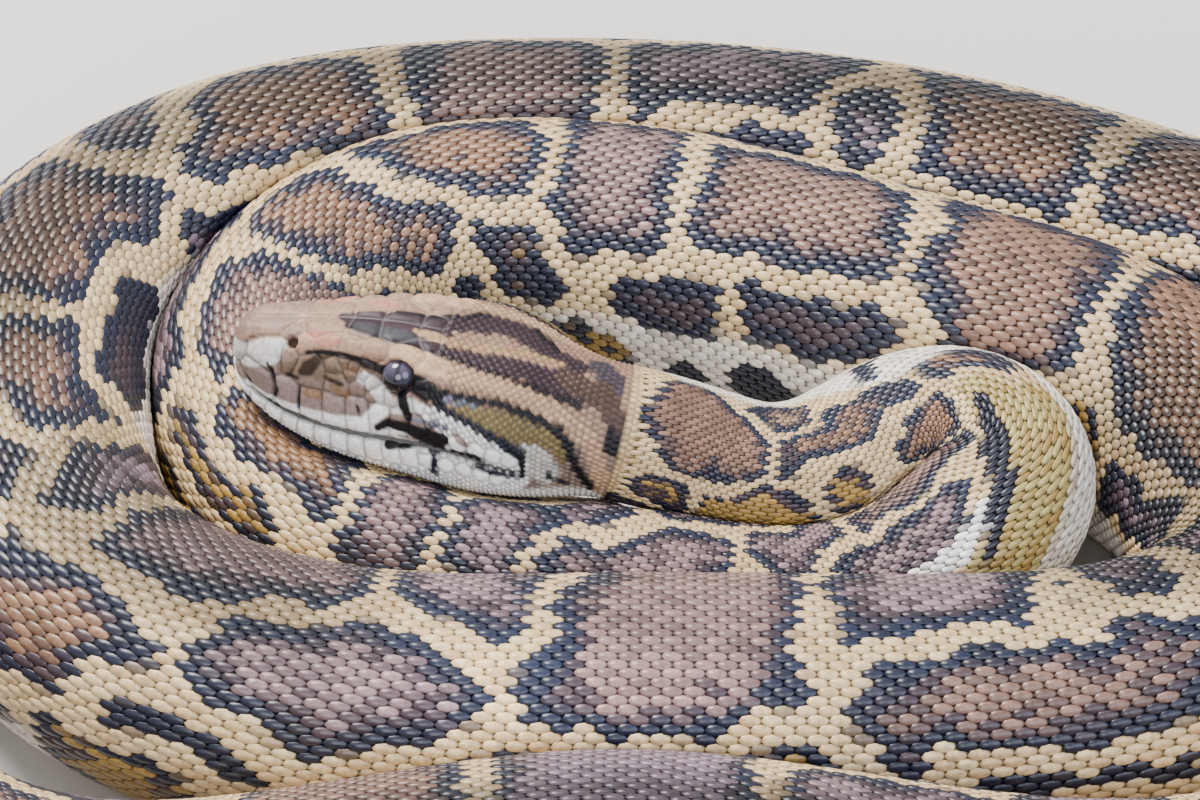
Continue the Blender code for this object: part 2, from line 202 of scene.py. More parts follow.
def freeOffsets(form, distance, places):
    radius = girthAt(form, distance)[:, None]
    turns = 2 * math.pi * places[None]
    along, across = np.cos(turns), np.sin(turns)
    power = form["roundness"]
    spread = (np.abs(across) / form["wider"]) ** power + (np.abs(along) / form["lower"]) ** power
    reach = radius * spread ** (-1 / power)
    body = np.stack([reach * across, reach * along], 2)
    share = distance / form["headLength"]
    mix = smoothStep(share, *form["neckBlend"])[:, None, None]
    return headOffsets(form, share, places) * (1 - mix) + body * mix


def readBody(body, distances):
    def read(values):
        return np.stack([np.interp(distances, body["distance"], values[:, k]) for k in range(3)], 1)

    bulge = np.interp(distances, body["distance"], body["bulge"])
    return read(body["centre"]), read(body["up"]), read(body["side"]), bulge


def raysAndReach(form, body, distances, places):
    centre, up, side, bulge = readBody(body, distances)
    offsets = freeOffsets(form, distances, places)
    reach = np.maximum(np.linalg.norm(offsets, axis=2), 1e-4)
    unit = offsets / reach[:, :, None]
    return centre, unit[:, :, :1] * side[:, None] + unit[:, :, 1:] * up[:, None], reach * bulge[:, None]


def reachTo(form, height, facing):
    # how far a ray goes before it meets a plane at that height over its start
    least = form["leastFacing"]
    return np.where(facing > least, height / np.maximum(facing, least), form["far"])


def leaningLimits(form, body, distances, centres, rays):
    # how far each ray may go before it meets the plane that its section shares with another loop
    distance, centre, ring = body["distance"], body["centre"], body["ring"]
    girth = np.linalg.norm(ring, axis=2).max(axis=1)
    give = np.clip((distance - form["headLength"]) / form["giveLength"], form["leastGive"], 1)
    limits = np.full(rays.shape[:2], form["far"])
    for row, (here, middle) in enumerate(zip(distances, centres)):
        i = min(round(here / form["fineStep"]), len(distance) - 1)
        away = centre - middle
        gap = np.linalg.norm(away, axis=1)
        reaching = girth[i] + girth
        near = (gap < reaching) & (np.abs(distance - here) > form["loopApart"] * reaching)
        for j in np.flatnonzero(near):
            normal = away[j] / gap[j]
            mine = (ring[i] @ normal).max()
            theirs = -(ring[j] @ normal).min()
            overlap = mine + theirs - gap[j]
            if overlap <= -form["pressedEase"]:
                continue
            plane = mine - overlap * give[i] / (give[i] + give[j])
            limits[row] = np.minimum(limits[row], reachTo(form, plane, rays[row] @ normal))
    return limits


def pressedReach(form, body, distances, centres, rays, free):
    limit = leaningLimits(form, body, distances, centres, rays)
    floor = reachTo(form, centres[:, None, 2], -rays[:, :, 2])
    eased = (np.minimum(limit, floor) + form["pressedEase"]) / free
    power = form["pressedSharpness"]
    blend = free * (1 + eased**-power) ** (-1 / power)
    return np.minimum(np.minimum(blend, limit), floor)


def layBody(form):
    distance, centre = centreline(form)
    up, side = bodyFrames(form, distance, centre)
    body = {"distance": distance, "centre": centre, "up": up, "side": side, "bulge": np.ones(len(distance))}
    places = np.arange(form["fineSides"]) / form["fineSides"]
    _, rays, free = raysAndReach(form, body, distance, places)
    body["ring"] = rays * free[:, :, None]
    held = pressedReach(form, body, distance, centre, rays, free)
    bulge = np.clip(np.sqrt((free**2).sum(1) / (held**2).sum(1)), 1, form["mostBulge"])
    bulge[distance < form["headLength"] * form["neckBlend"][1]] = 1
    span = form["bulgeSpan"]
    body["bulge"] = np.convolve(np.pad(bulge, span // 2, mode="edge"), np.ones(span) / span, mode="valid")
    body["ring"] = body["ring"] * body["bulge"][:, None, None]
    return body


def sectionRings(form, body, distances, places):
    centre, rays, free = raysAndReach(form, body, distances, places)
    held = pressedReach(form, body, distances, centre, rays, free)
    return centre[:, None] + held[:, :, None] * rays


def outwardNormals(rings):
    along = np.gradient(rings, axis=0)
    around = np.roll(rings, -1, 1) - np.roll(rings, 1, 1)
    normals = np.cross(around, along)
    return normals / np.maximum(np.linalg.norm(normals, axis=2, keepdims=True), 1e-9)


def surfaceGrid(form, body, stations, sides):
    rings = sectionRings(form, body, stations, np.arange(sides) / sides)
    normals = outwardNormals(rings)
    outward = ((rings - rings.mean(1, keepdims=True)) * normals).sum()
    return {"stations": stations, "rings": rings, "normals": normals * np.sign(outward)}


def onSurface(grid, distance, place, height):
    # a point of the body's outer surface, raised by height along the normal
    stations, rings, normals = grid["stations"], grid["rings"], grid["normals"]
    row = np.interp(distance, stations, np.arange(len(stations)))
    i = np.minimum(row.astype(int), len(stations) - 2)
    down = (row - i)[..., None]
    sides = rings.shape[1]
    column = (place % 1) * sides
    j = column.astype(int) % sides
    k = (j + 1) % sides
    across = (column - np.floor(column))[..., None]

    def blend(values):
        near = values[i, j] * (1 - across) + values[i, k] * across
        far = values[i + 1, j] * (1 - across) + values[i + 1, k] * across
        return near * (1 - down) + far * down

    return blend(rings) + blend(normals) * height[..., None]


body = layBody(bodyForm)
bodyLength = body["distance"][-1]
print("body laid,", round(bodyLength), "mm long")

# Places on the body are (distance from the snout in mm, degrees round from the back towards the left side).
# Each blotch is how far it spreads from its core line, its colour, and the places that the line runs through.
# The colour runs from 0, warm brown, through 1, lilac grey, to 2, olive gold; 3 is all dark, and 4 is a mossy
# patch with no rim.
blotches = {
    "band": 3.1,  # half of the width of the cream network between two blotches, at full girth
    "reach": 12.0,  # how far a blotch may grow past its own spread to keep the network narrow
    "rim": 5.5,  # width of a blotch's dark rim
    "longest": 90,  # no blotch reaches farther than this from its middle
    "neck": (
        (9, 0.2, 113, 22, 116, 28), (1.2, 0.1, 139, 34, 152, 17, 170, 13), (1.5, 2, 145, 56, 147, 66),
        (1, 2.4, 103, 94, 111, 96), (4, 2, 123, 84, 136, 84), (1, 3, 100, 118, 118, 122),
        (0, 1.6, 121, -12, 143, -6), (3, 0, 182, -22, 191, -31), (5, 2, 165, 100, 185, 88),
        (3.5, 0.1, 171, 38, 190, 42), (2, 0.4, 207, 38, 221, 20, 237, 0, 246, -10),
        (4, 4, 196, -14, 206, -38, 214, -60, 221, -80), (-2, 3, 166, -22, 168, -38),
        (-2, 3, 176, -28, 178, -42), (3.6, 0.7, 228, -28, 240, -34, 254, -37), (8, 0.3, 248, 62, 262, 66),
    ),
    "innerFront": (
        (4, 0.7, 264, -6, 272, -14, 281, -12), (3.5, 0.6, 292, -22, 306, -26, 322, -38),
        (4, 0.6, 284, 20, 304, 22), (5, 0.8, 342, -34, 334, -10, 322, -5), (4, 0.8, 338, 6, 344, 20),
        (4, 0.6, 364, -24, 364, -44), (4.5, 0, 388, -22, 407, -31), (0, 2, 397, -67, 412, -68, 425, -63),
        (7, 0.4, 438, -14, 448, 8, 455, 34), (7, 0.6, 312, 52, 326, 48), (7, 1, 356, 46, 376, 34),
        (9, 0.3, 402, 24, 420, 34), (6, 1, 285, 88, 300, 92), (6, 0.6, 340, 92, 362, 90),
        (6, 1, 400, 88, 420, 92), (6, 0.8, 448, 80, 466, 88),
    ),
    "innerBack": (
        (7, 0.1, 480, 0, 491, 20, 508, 37), (8, 0.1, 512, -5, 530, 0), (10, 0.5, 559, -10, 563, 28),
        (12, 0.3, 601, 4, 622, 12), (1.5, 2.6, 533, 48, 548, 60), (0, 3, 517, 60, 522, 66),
        (3, 3, 573, 64, 592, 72), (4, 3, 614, 60, 645, 52), (15, 0.2, 662, -18, 664, 28),
        (15, 0.1, 716, -20, 735, 20), (4, 1, 735, 75, 790, 62), (9, 0.8, 790, 20, 800, 35),
        (6, 1, 822, 26, 832, 30), (5, 2, 680, 84, 700, 80), (2, 3, 640, 92, 646, 96),
        (1.5, 3, 608, 95, 612, 96), (1, 3, 588, 98, 590, 100), (6, 1, 480, 70, 500, 84),
    ),
    "front": (
        (13, 0.3, 842, -38, 876, -36), (14, 0.8, 866, 24, 888, 12), (19, 0.5, 927, 34, 926, 12, 946, -6),
        (15, 0.8, 984, 20, 984, 40), (14, 0.7, 1003, -27, 1026, -30), (17, 0.6, 1030, 22, 1062, 14),
        (11, 0.1, 1068, -35, 1076, -50), (9, 2, 1052, -100, 1066, -104), (3, 3, 1036, -66, 1054, -70),
        (2.5, 3, 830, -72, 870, -70), (10, 1, 1092, 18, 1100, 40), (9, 0.2, 1132, 14, 1150, 12),
        (4, 3, 1150, 52, 1190, 50), (2, 1, 846, 20, 850, 0), (7, 2, 905, -84, 935, -86),
        (7, 1.5, 968, -82, 990, -86), (5, 1, 1112, -10, 1116, -20),
    ),
    "back": (
        (14, 0.2, 1186, 10, 1206, -2), (6, 0.4, 1232, -18, 1240, -22), (12, 0.1, 1262, 5, 1288, 12),
        (14, 0.4, 1322, 8, 1338, 6), (11, 0.8, 1380, -2, 1408, -6), (9, 1, 1426, 16, 1430, 22),
        (3, 3, 1385, 35, 1412, 36), (17, 0.1, 1458, 10, 1468, 8), (14, 0.2, 1512, 10, 1530, 8),
    ),
    "last": (
        (11, 1, 1852, 36, 1866, 20), (12, 0.8, 1890, 14, 1908, 10), (14, 1, 1952, 22, 1968, 16),
        (10, 0.3, 2008, 22, 2024, 30),
    ),
    # Rows of blotches that fill the rest: (turn, spacing, one blotch's middle, spread, colour)
    "rows": (
        (-8, 76, 1570, 15, 0.4), (72, 64, 1580, 11, 1), (-76, 64, 1604, 11, 0.8), (106, 52, 500, 6, 2),
        (-106, 52, 520, 6, 2),
    ),
    "rowsFrom": 255, "rowsEnd": 15,  # the rows start here and stop this far from the tip of the tail
    "clear": 15, "clearSpread": 0.3,  # a row's blotch is left out where a named one is nearer than this
    "half": 12, "lean": 8,  # half the length of a row's blotch, and the most degrees that it leans
    # waves of (size in mm, waves along, waves round) that make the outlines uneven
    "wobble": ((1.1, 0.31, 0.07), (0.9, 0.17, -0.13)), "wobbleRound": 0.7,
}

# Marks painted over the blotches at the neck's turn: a colour, then (distance, turn, half width in mm).
bodyStrokes = (
    ("rim", (194, 3, 2.0), (201, 5, 2.6), (209, -10, 2.5), (215, -33, 2.4), (218, -44, 2.3), (224, -57, 2.1),
     (228, -68, 1.6)),
    ("white", (221, -34, 1.2), (226, -48, 2.0), (233, -57, 2.6), (240, -61, 3.0), (247, -62, 2.6)),
)

# Stretches of the back that are darker or paler than the rest: from, to, middle turn, half width in degrees,
# and how bright they are.
backShades = (
    (1135, 2650, -6, 24, 0.27), (1012, 1120, 12, 36, 0.36), (700, 848, 34, 34, 0.42),
    (925, 1004, -34, 18, 1.5),
)
shadeSoft = (22, 14)  # how softly those stretches end, along in mm and round in degrees

# Where the pale belly colour starts, in degrees from the back: (distance, on the left, on the right).
bellyEdge = (
    (98, 126, 60), (106, 128, 24), (140, 126, 26), (150, 112, 28), (161, 102, 14), (172, 102, 4),
    (179, 102, 18), (186, 102, 48), (197, 104, 50), (206, 106, 62), (214, 108, 80), (224, 110, 98),
    (262, 108, 100),
    (330, 100, 100), (500, 96, 100), (545, 78, 100), (640, 76, 100), (700, 92, 100), (1090, 98, 100),
    (1135, 60, 100), (1230, 60, 100), (1290, 92, 100), (1420, 88, 100), (1500, 60, 100), (1560, 96, 100),
    (2560, 100, 100),
)
bellySoft = 5  # degrees on each side of that edge over which the colours blend

# rimSheen is a painted sheen: the bluer dark that the rims take along the back, where they face the sky
paints = {
    "cream": "#DEC394", "tan": "#BC986A", "rim": "#191A28", "rimSheen": "#29324C", "inner": "#3C2F36",
    "brown": "#7D5B3E", "lilac": "#7C6974", "olive": "#94753A", "moss": "#B3A266", "white": "#F4EEE5",
    "belly": "#E4D7BE", "bellyGrey": "#BDB4AE",
}


def linear(text):
    # an sRGB hex colour as linear red, green and blue
    parts = np.array([int(text[k : k + 2], 16) for k in (1, 3, 5)]) / 255
    return np.where(parts <= 0.04045, parts / 12.92, ((parts + 0.055) / 1.055) ** 2.4)


paint = {name: linear(text) for name, text in paints.items()}


def segmentDistance(points, start, end):
    line = end - start
    share = np.clip(((points - start) @ line) / max(line @ line, 1e-9), 0, 1)
    return np.linalg.norm(points - start - share[..., None] * line, axis=-1), share


def clearance(named, middle, turn, girth):
    # how far a place on the body is from the nearest of the named blotches
    point = np.array((middle, math.radians(turn) * girth))
    clear = bodyForm["far"]
    for spread, _, *line in named:
        ends = np.array(line, float).reshape(-1, 2) * (1, math.radians(girth))
        clear = min(clear, *(segmentDistance(point, *pair)[0] - spread for pair in zip(ends, ends[1:])))
    return clear


def allBlotches(values):
    parts = ("neck", "innerFront", "innerBack", "front", "back", "last")
    named = [blotch for part in parts for blotch in values[part]]
    rows = []
    for turn, spacing, first, spread, colour in values["rows"]:
        for k in range(-int(first / spacing), int(bodyLength / spacing)):
            middle = first + k * spacing
            if not values["rowsFrom"] < middle < bodyLength - values["rowsEnd"]:
                continue
            girth = girthAt(bodyForm, middle)
            size = girth / bodyForm["fullGirth"]
            wanted = values["clear"] * size + spread * values["clearSpread"]
            if clearance(named, middle, turn, girth) > wanted:
                lean = values["lean"] * math.sin(1.7 * k + turn)
                half = values["half"] * size
                rows.append((spread * size, colour, middle - half, turn + lean, middle + half, turn - lean))
    return named + rows


def markings(values, distance, turn):
    # depth in mm past the edge of the cream network, and the colour of the blotch
    girth = girthAt(bodyForm, distance)
    wobble = sum(most * np.sin(distance * along + turn * around) for most, along, around in values["wobble"])
    points = np.stack([distance + wobble, np.radians(turn) * girth + wobble * values["wobbleRound"]], -1)
    best, second = np.full(distance.shape, 200.0), np.full(distance.shape, 201.0)
    colour = np.zeros(distance.shape)
    for spread, kind, *line in blotchList:
        near = np.abs(distance - (line[0] + line[-2]) / 2) < values["longest"]
        local, away = girth[near], points[near]
        found = np.full(local.shape, bodyForm["far"])
        for s0, t0, s1, t1 in zip(line[::2], line[1::2], line[2::2], line[3::2]):
            start = np.stack([np.full(local.shape, float(s0)), math.radians(t0) * local], -1)
            run = np.stack([np.full(local.shape, float(s1 - s0)), math.radians(t1 - t0) * local], -1)
            share = np.clip(((away - start) * run).sum(-1) / np.maximum((run**2).sum(-1), 1e-6), 0, 1)
            # the fourth power makes a blotch squarer than a round spot
            found = np.minimum(found, ((away - start - share[:, None] * run) ** 4).sum(-1) ** 0.25 - spread)
        closer = found < best[near]
        second[near] = np.minimum(second[near], np.maximum(found, best[near]))
        colour[near] = np.where(closer, kind, colour[near])
        best[near] = np.minimum(best[near], found)
    size = girth / bodyForm["fullGirth"]
    depth = np.minimum((second - best) / 2 - values["band"] * size**1.5, values["reach"] * size**1.5 - best)
    return depth / size**1.7, colour


def paleness(distance, turn):
    along, left, right = np.array(bellyEdge, float).T
    edge = np.where(turn > 0, np.interp(distance, along, left), np.interp(distance, along, right))
    return smoothStep(np.abs(turn), edge - bellySoft, edge + bellySoft)


def mix(first, second, share):
    return first + (second - first) * np.clip(share, 0, 1)[..., None]


def blotchPaint(distance, turn, chance):
    # the cream network, its blotches with their dark rims and speckled centres, a painted sheen that turns
    # the rims bluer along the back, and the pale belly
    depth, kind = markings(blotches, distance, turn)
    depth = depth + (chance - 0.5) * 1.2
    tanShare = 0.75 * chance + 0.12 * np.sin(distance * 0.05 + turn * 0.04)
    ground = mix(paint["cream"], paint["tan"], tanShare)
    warm, cool = mix(paint["brown"], paint["lilac"], kind), mix(paint["lilac"], paint["olive"], kind - 1)
    centre = np.where((kind <= 1)[..., None], warm, cool)
    # painted sheen: the rims turn bluer towards the top of the back
    rimColour = mix(paint["rim"], paint["rimSheen"], 0.15 + 0.5 * smoothStep(np.abs(turn), 70, 10) * chance)
    rim = blotches["rim"] * np.where(np.abs(kind - 2) < 0.3, 0.6, 1)
    colour = mix(ground, rimColour, smoothStep(depth, -0.2, 0.4))
    colour = mix(colour, paint["inner"], smoothStep(depth, rim * 0.55, rim))
    speckled = smoothStep(depth + 5 * (chance - 0.5), rim * 0.9, rim * 1.7)
    colour = mix(colour, centre * (0.7 + 0.7 * chance[..., None]), np.where(kind > 2.7, 0, speckled))
    moss = mix(ground, mix(paint["moss"], paint["olive"], chance), smoothStep(depth, -1.0, 1.0))
    colour = mix(colour, moss, (kind > 3.5) * 1.0)
    under = mix(paint["white"], paint["belly"], 0.8 * chance)
    under = mix(under, paint["bellyGrey"], 0.5 * smoothStep(chance, 0.75, 0.95))
    spots = smoothStep(depth, 0.0, 1.5) * np.where((kind > 1.4) & (kind < 3.5), 1, 0.15)
    pale = mix(under, mix(rimColour, centre, speckled * (kind < 2.5)), spots)
    return mix(colour, pale, paleness(distance, turn))


def bodyPaint(distance, turn, chance):
    colour = blotchPaint(distance, turn, chance)
    points = np.stack([distance, np.radians(turn) * girthAt(bodyForm, distance)], -1)
    for name, *marks in bodyStrokes:
        ends = [np.array((s, math.radians(t) * float(girthAt(bodyForm, s)))) for s, t, _ in marks]
        widths = [wide for _, _, wide in marks]
        for k in range(len(ends) - 1):
            away, share = segmentDistance(points, ends[k], ends[k + 1])
            edge = widths[k] + (widths[k + 1] - widths[k]) * share - away
            colour = mix(colour, paint[name] * (0.85 + 0.3 * chance[..., None]), smoothStep(edge, -0.3, 0.3))
    along, around = shadeSoft
    for first, last, middle, half, strength in backShades:
        inside = smoothStep(distance, first - along, first + along)
        inside = inside * smoothStep(-distance, -last - along, along - last)
        inside = inside * smoothStep(-np.abs(turn - middle), -half - around, around - half)
        colour = colour * (1 + (strength - 1) * inside[..., None])
    return colour


blotchList = allBlotches(blotches)
print("markings laid out,", len(blotchList), "blotches")

# nostril is the painted shade inside the nostrils and along the mouth's groove
headColours = {
    "crown": "#9C7C67", "snout": "#8E7468", "side": "#8A7468", "lip": "#FBF8F3", "labial": "#8F7B74",
    "nasal": "#D2CBC6", "labialTan": "#8A6B52", "loreal": "#33261D", "lorealPale": "#75604F",
    "stripeDark": "#1E1717", "nostril": "#120D0E", "pink": "#B67C68", "arrow": "#3A2A31",
    "arrowGrey": "#3B3A3E", "arrowEdge": "#1F171D", "streak": "#AE8C66", "cream": "#BF9A7A",
    "cheek": "#7F6D45", "cheekGrey": "#C9C4BA", "black": "#141217", "blueBlack": "#1D1F2D",
    "blueGrey": "#6B6C7A", "white": "#F8F4EF", "throat": "#F0EBE2", "nape": "#453C44",
    "napeBrown": "#4E3A33", "speck": "#D8D3CC",
}

# Strokes of colour on the left of the head: name, then (distance, turn, half-width) along the stroke.
# They are laid in this order, and each is repeated on the right unless its name starts with "one".
headStrokes = (
    ("snout", (3, 0, 5), (12, 10, 3.5), (16, 26, 2.4)),
    ("lip", (1, 100, 5.5), (20, 99, 6.8), (44, 99, 7.4), (60, 98, 7.5), (76, 94, 5.5)),
    ("labial", (4, 74, 3.4), (12, 74, 3.4), (24, 73, 3.3), (38, 74, 3.0)),
    ("nasal", (1.5, 60, 3.0), (6, 60, 3.0), (11, 52, 3.4), (14, 44, 1.6)),
    ("lip", (6, 84, 1.0), (14, 84, 1.1), (26, 83.5, 1.1), (38, 82, 1.6), (42, 73, 2.0)),
    ("speck", (36, 57, 1.6), (41, 64, 2.2), (44, 70, 2.0), (50, 64, 1.8)),
    ("labialTan", (22.5, 71, 1.3), (25.5, 71, 1.3)),
    ("labialTan", (29.5, 66, 1.2), (32.5, 68, 1.3)),
    ("lorealPale", (16, 60, 1.3), (24, 55, 3.2), (31, 55, 2.6), (35, 52, 1.4)),
    ("loreal", (20.5, 60, 1.0), (22, 57, 1.9), (24, 51, 1.4)),
    ("loreal", (16.8, 64, 0.6), (19.6, 64, 0.6)),
    ("loreal", (27, 61, 0.6), (31, 63, 0.7)),
    ("labialTan", (31, 53, 1.0), (34, 55, 0.8)),
    ("pink", (20, 30, 1.0), (24, 32, 2.2), (28, 33, 1.2)),
    ("one pink", (33, -20, 1.0), (38, -17, 1.6)),
    ("stripeDark", (21, 47, 0.6), (25, 44.5, 0.7), (29, 44.5, 0.8), (34, 46, 1.0), (37, 48, 1.2),
     (42, 50, 1.3)),
    ("one arrow", (27, 0, 1.2), (31, 4, 3.0), (36, 5.5, 4.2), (41, 6, 4.8), (46, 7, 4.9), (50, 7, 4.9)),
    ("one arrow", (48, 15, 2.4), (55, 14.5, 2.2), (62, 13, 2.4), (68, 12, 2.5), (75, 12, 2.8), (82, 15, 3.4),
     (88, 16, 4.2)),
    ("one arrow", (48, -2, 2.2), (54, -6, 2.4), (60, -10, 3.0), (66, -15, 4.2), (72, -12, 3.8), (78, -6, 2.6),
     (86, -2, 3.0)),
    ("one arrowGrey", (32, 12, 1.4), (38, 15, 2.0), (45, 16, 2.2)),
    ("one arrowEdge", (29, 13, 0.5), (33, 19, 0.6), (40, 22, 0.6), (50, 21, 0.7), (60, 19, 0.7),
     (68, 18.5, 0.7), (76, 21, 0.8), (82, 24, 0.9), (88, 27, 1.3)),
    ("one arrowEdge", (40, -8, 0.8), (48, -8, 0.8), (56, -14, 0.9), (62, -22, 1.0), (67, -26, 1.2),
     (72, -24, 1.2), (76, -17, 1.0), (80, -11, 0.9)),
    ("one streak", (46, 7, 0.8), (50, 8, 1.4), (56, 7.5, 1.6), (62, 5.5, 1.4), (68, 3, 1.2), (75, 1, 1.1),
     (83, 0.5, 0.9)),
    ("one napeBrown", (84, 8, 2.6), (88, 14, 3.2), (93, 22, 2.6), (95, 36, 1.6)),
    ("one nape", (90, -12, 3.0), (92, -2, 3.6), (93, 8, 3.0)),
    ("one napeBrown", (91.5, 12, 3.0), (93, 25, 3.0), (95, 41, 2.4), (96, 54, 2.0), (97, 68, 1.8),
     (98.5, 88, 1.4)),
    ("cream", (44, 31, 2.4), (52, 30, 2.8), (60, 27, 2.4), (68, 26, 2.2), (76, 28.5, 2.4), (82, 33, 2.6),
     (87, 40, 2.6), (91.5, 54, 2.4), (93, 70, 2.2), (94, 85, 2.2), (95.5, 110, 2.4)),
    ("cheekGrey", (80, 62, 2.2), (83, 76, 2.8), (84.5, 92, 3.0)),
    ("cheek", (61, 48, 1.6), (68, 48, 3.0), (76, 49, 3.4), (83, 52, 2.6), (86, 60, 1.6), (87, 72, 1.0)),
    ("white", (52, 63, 1.4), (57, 64, 2.6), (63, 67, 3.6), (69, 73, 4.2), (74, 81, 4.4), (76, 87, 3.4)),
    ("labial", (60.5, 68, 0.7), (63.5, 74, 0.9)),
    ("blueGrey", (50, 72, 0.5), (55, 68.5, 0.9), (58.5, 66, 0.6)),
    ("blueBlack", (56, 54, 1.0), (62, 53.5, 1.0), (67, 56, 1.1), (71, 59, 1.2), (75, 63, 1.5),
     (78.5, 70, 1.4)),
    ("black", (49.5, 49.5, 2.5), (53, 49, 2.6), (56.5, 48, 1.8)),
    # painted highlight: blue-grey glints on the scales behind the eye
    ("blueGrey", (57.5, 47, 0.9), (61, 44, 1.0), (65, 41, 0.6)),
    ("black", (57, 43, 0.9), (61, 40, 0.9), (66, 37.5, 1.1), (71, 36.5, 1.2), (76, 38, 1.2), (81, 41.5, 1.2),
     (85.5, 47, 1.4), (88, 58, 1.3), (89, 72, 1.2), (90.5, 88, 1.2), (93, 105, 1.3)),
    ("black", (41.5, 83, 1.0), (44, 79.5, 1.3), (48, 79, 1.6), (52, 80, 2.2), (57.5, 79, 2.3)),
    ("black", (46.5, 61, 1.4), (47.5, 67, 1.6), (49, 73, 1.0)),
    ("labial", (47, 85, 0.5), (51, 85.5, 0.5)),
    ("black", (44.5, 92.5, 1.3), (48.5, 91.5, 1.0), (52, 89, 0.8), (58, 88, 0.9)),
    ("blueBlack", (56.3, 94, 0.8), (56.6, 110, 0.9)),
    ("black", (60, 87, 0.8), (64, 87, 0.9), (66.5, 83, 1.0), (68.5, 90, 1.3)),
    ("blueBlack", (66.5, 94, 0.5), (71.5, 94.5, 0.8), (78, 93, 0.7)),
    ("black", (78.8, 72, 1.0), (79.2, 93, 1.0)),
    ("blueBlack", (84.5, 91, 0.6), (85.5, 98, 0.7)),
    ("blueBlack", (86.5, 97, 0.4), (88, 104, 0.6)),
    ("black", (94.3, 44, 1.4), (94.8, 59, 1.7)),
    ("black", (96.6, 62, 1.0), (97, 100, 1.2)),
    ("black", (9, 87.5, 0.7), (20, 88, 0.7), (25, 88, 0.5)),
    ("black", (11.3, 60, 0.4), (12.4, 66, 0.5), (14.2, 75, 0.9), (13.8, 80, 0.7)),
    ("black", (20.2, 70, 0.35), (20.4, 82, 0.5)),
    ("black", (5.4, 77, 0.6), (6.6, 79, 0.7)),
    ("black", (35.8, 73, 0.4), (36.4, 76, 0.5)),
)
strokeSoftness = 0.38
headEnd = 96.0  # from here on the body's own markings take over

# the head's surface, in sections that lie closer together on the snout
headStations = np.concatenate([25 * (np.arange(1, 40) / 40) ** 1.35, np.arange(25.5, 108, 0.8)])
headGrid = surfaceGrid(bodyForm, body, headStations, 180)
headTones = {name: linear(text) for name, text in headColours.items()}


def headPoint(distance, turn):
    where = np.array([float(distance)]), np.array([turn / 360])
    return onSurface(headGrid, *where, np.zeros(1))[0]


def headPaint(points, turn, chance):
    colour = mix(headTones["crown"], headTones["side"], smoothStep(np.abs(turn), 40, 60))
    colour = mix(colour, headTones["throat"], smoothStep(np.abs(turn), 104, 114))
    colour = colour * (0.9 + 0.2 * chance[..., None])
    for stroke in headStrokes:
        name = stroke[0].removeprefix("one ")
        for side in (1, -1) if name == stroke[0] else (1,):
            ends = [headPoint(s, t * side) for s, t, _ in stroke[1:]]
            widths = [wide for _, _, wide in stroke[1:]]
            cover = np.zeros(len(points))
            for k in range(len(ends) - 1):
                away, share = segmentDistance(points, ends[k], ends[k + 1])
                edge = widths[k] + (widths[k + 1] - widths[k]) * share - away
                cover = np.maximum(cover, smoothStep(edge, -strokeSoftness, strokeSoftness))
            shade = headTones[name] * (0.88 + 0.24 * chance[..., None])
            colour = mix(colour, shade, cover)
    return colour


def enclosed(mesh):
    # the volume that the faces close off, which is below zero where they face inwards
    mesh.calc_loop_triangles()
    points = np.empty(len(mesh.vertices) * 3, np.float32)
    mesh.vertices.foreach_get("co", points)
    corners = np.empty(len(mesh.loop_triangles) * 3, np.int32)
    mesh.loop_triangles.foreach_get("vertices", corners)
    points = points.reshape(-1, 3)
    a, b, c = (points - points.mean(0))[corners].reshape(-1, 3, 3).transpose(1, 0, 2)
    return (a * np.cross(b, c)).sum()


def meshPiece(name, points, faces, attributes, uv=None):
    # points in millimetres; attributes are {name: one row for each point}; uv has one row for each corner
    mesh = bpy.data.meshes.new(name)
    mesh.vertices.add(len(points))
    mesh.vertices.foreach_set("co", (points / 1000).astype(np.float32).ravel())
    lengths = np.array([len(face) for face in faces])
    corners = np.concatenate(faces)
    mesh.loops.add(len(corners))
    mesh.polygons.add(len(lengths))
    mesh.loops.foreach_set("vertex_index", corners.astype(np.int32))
    mesh.polygons.foreach_set("loop_start", np.concatenate([[0], np.cumsum(lengths)[:-1]]).astype(np.int32))
    for key, rows in attributes.items():
        kind, width = ("FLOAT_COLOR", 4) if rows.shape[1] == 4 else ("FLOAT_VECTOR", 3)
        layer = mesh.attributes.new(key, kind, "POINT")
        layer.data.foreach_set("color" if width == 4 else "vector", rows.astype(np.float32).ravel())
    if uv is not None:
        mesh.uv_layers.new(name="OFBake").data.foreach_set("uv", uv.astype(np.float32).ravel())
    mesh.update(calc_edges=True)
    mesh.validate()
    if enclosed(mesh) < 0:
        mesh.flip_normals()
    mesh.shade_smooth()
    piece = bpy.data.objects.new(name, mesh)
    bpy.context.scene.collection.objects.link(piece)
    return piece


def withAlpha(colour):
    return np.concatenate([colour, np.ones((len(colour), 1))], 1)


def closedTube(count, sides):
    # quads from ring to ring, and one face that closes each end
    i, j = np.meshgrid(np.arange(count - 1), np.arange(sides), indexing="ij")
    k = (j + 1) % sides
    quads = np.stack([i * sides + j, (i + 1) * sides + j, (i + 1) * sides + k, i * sides + k], -1)
    last = (count - 1) * sides
    return [*quads.reshape(-1, 4), np.arange(sides), np.arange(last + sides - 1, last - 1, -1)]


def tubeUnwrap(faces, along, place):
    # the tube rolled out flat and cut along the belly, where each face's corners are kept together
    corners = np.concatenate(faces)
    around = ((place + 0.5) % 1)[corners]
    quads = around[: 4 * (len(faces) - 2)].reshape(-1, 4)
    quads[(quads.max(1) - quads.min(1) > 0.5)[:, None] & (quads < 0.5)] += 1
    return np.stack([along[corners], 0.01 + 0.97 * around], 1)
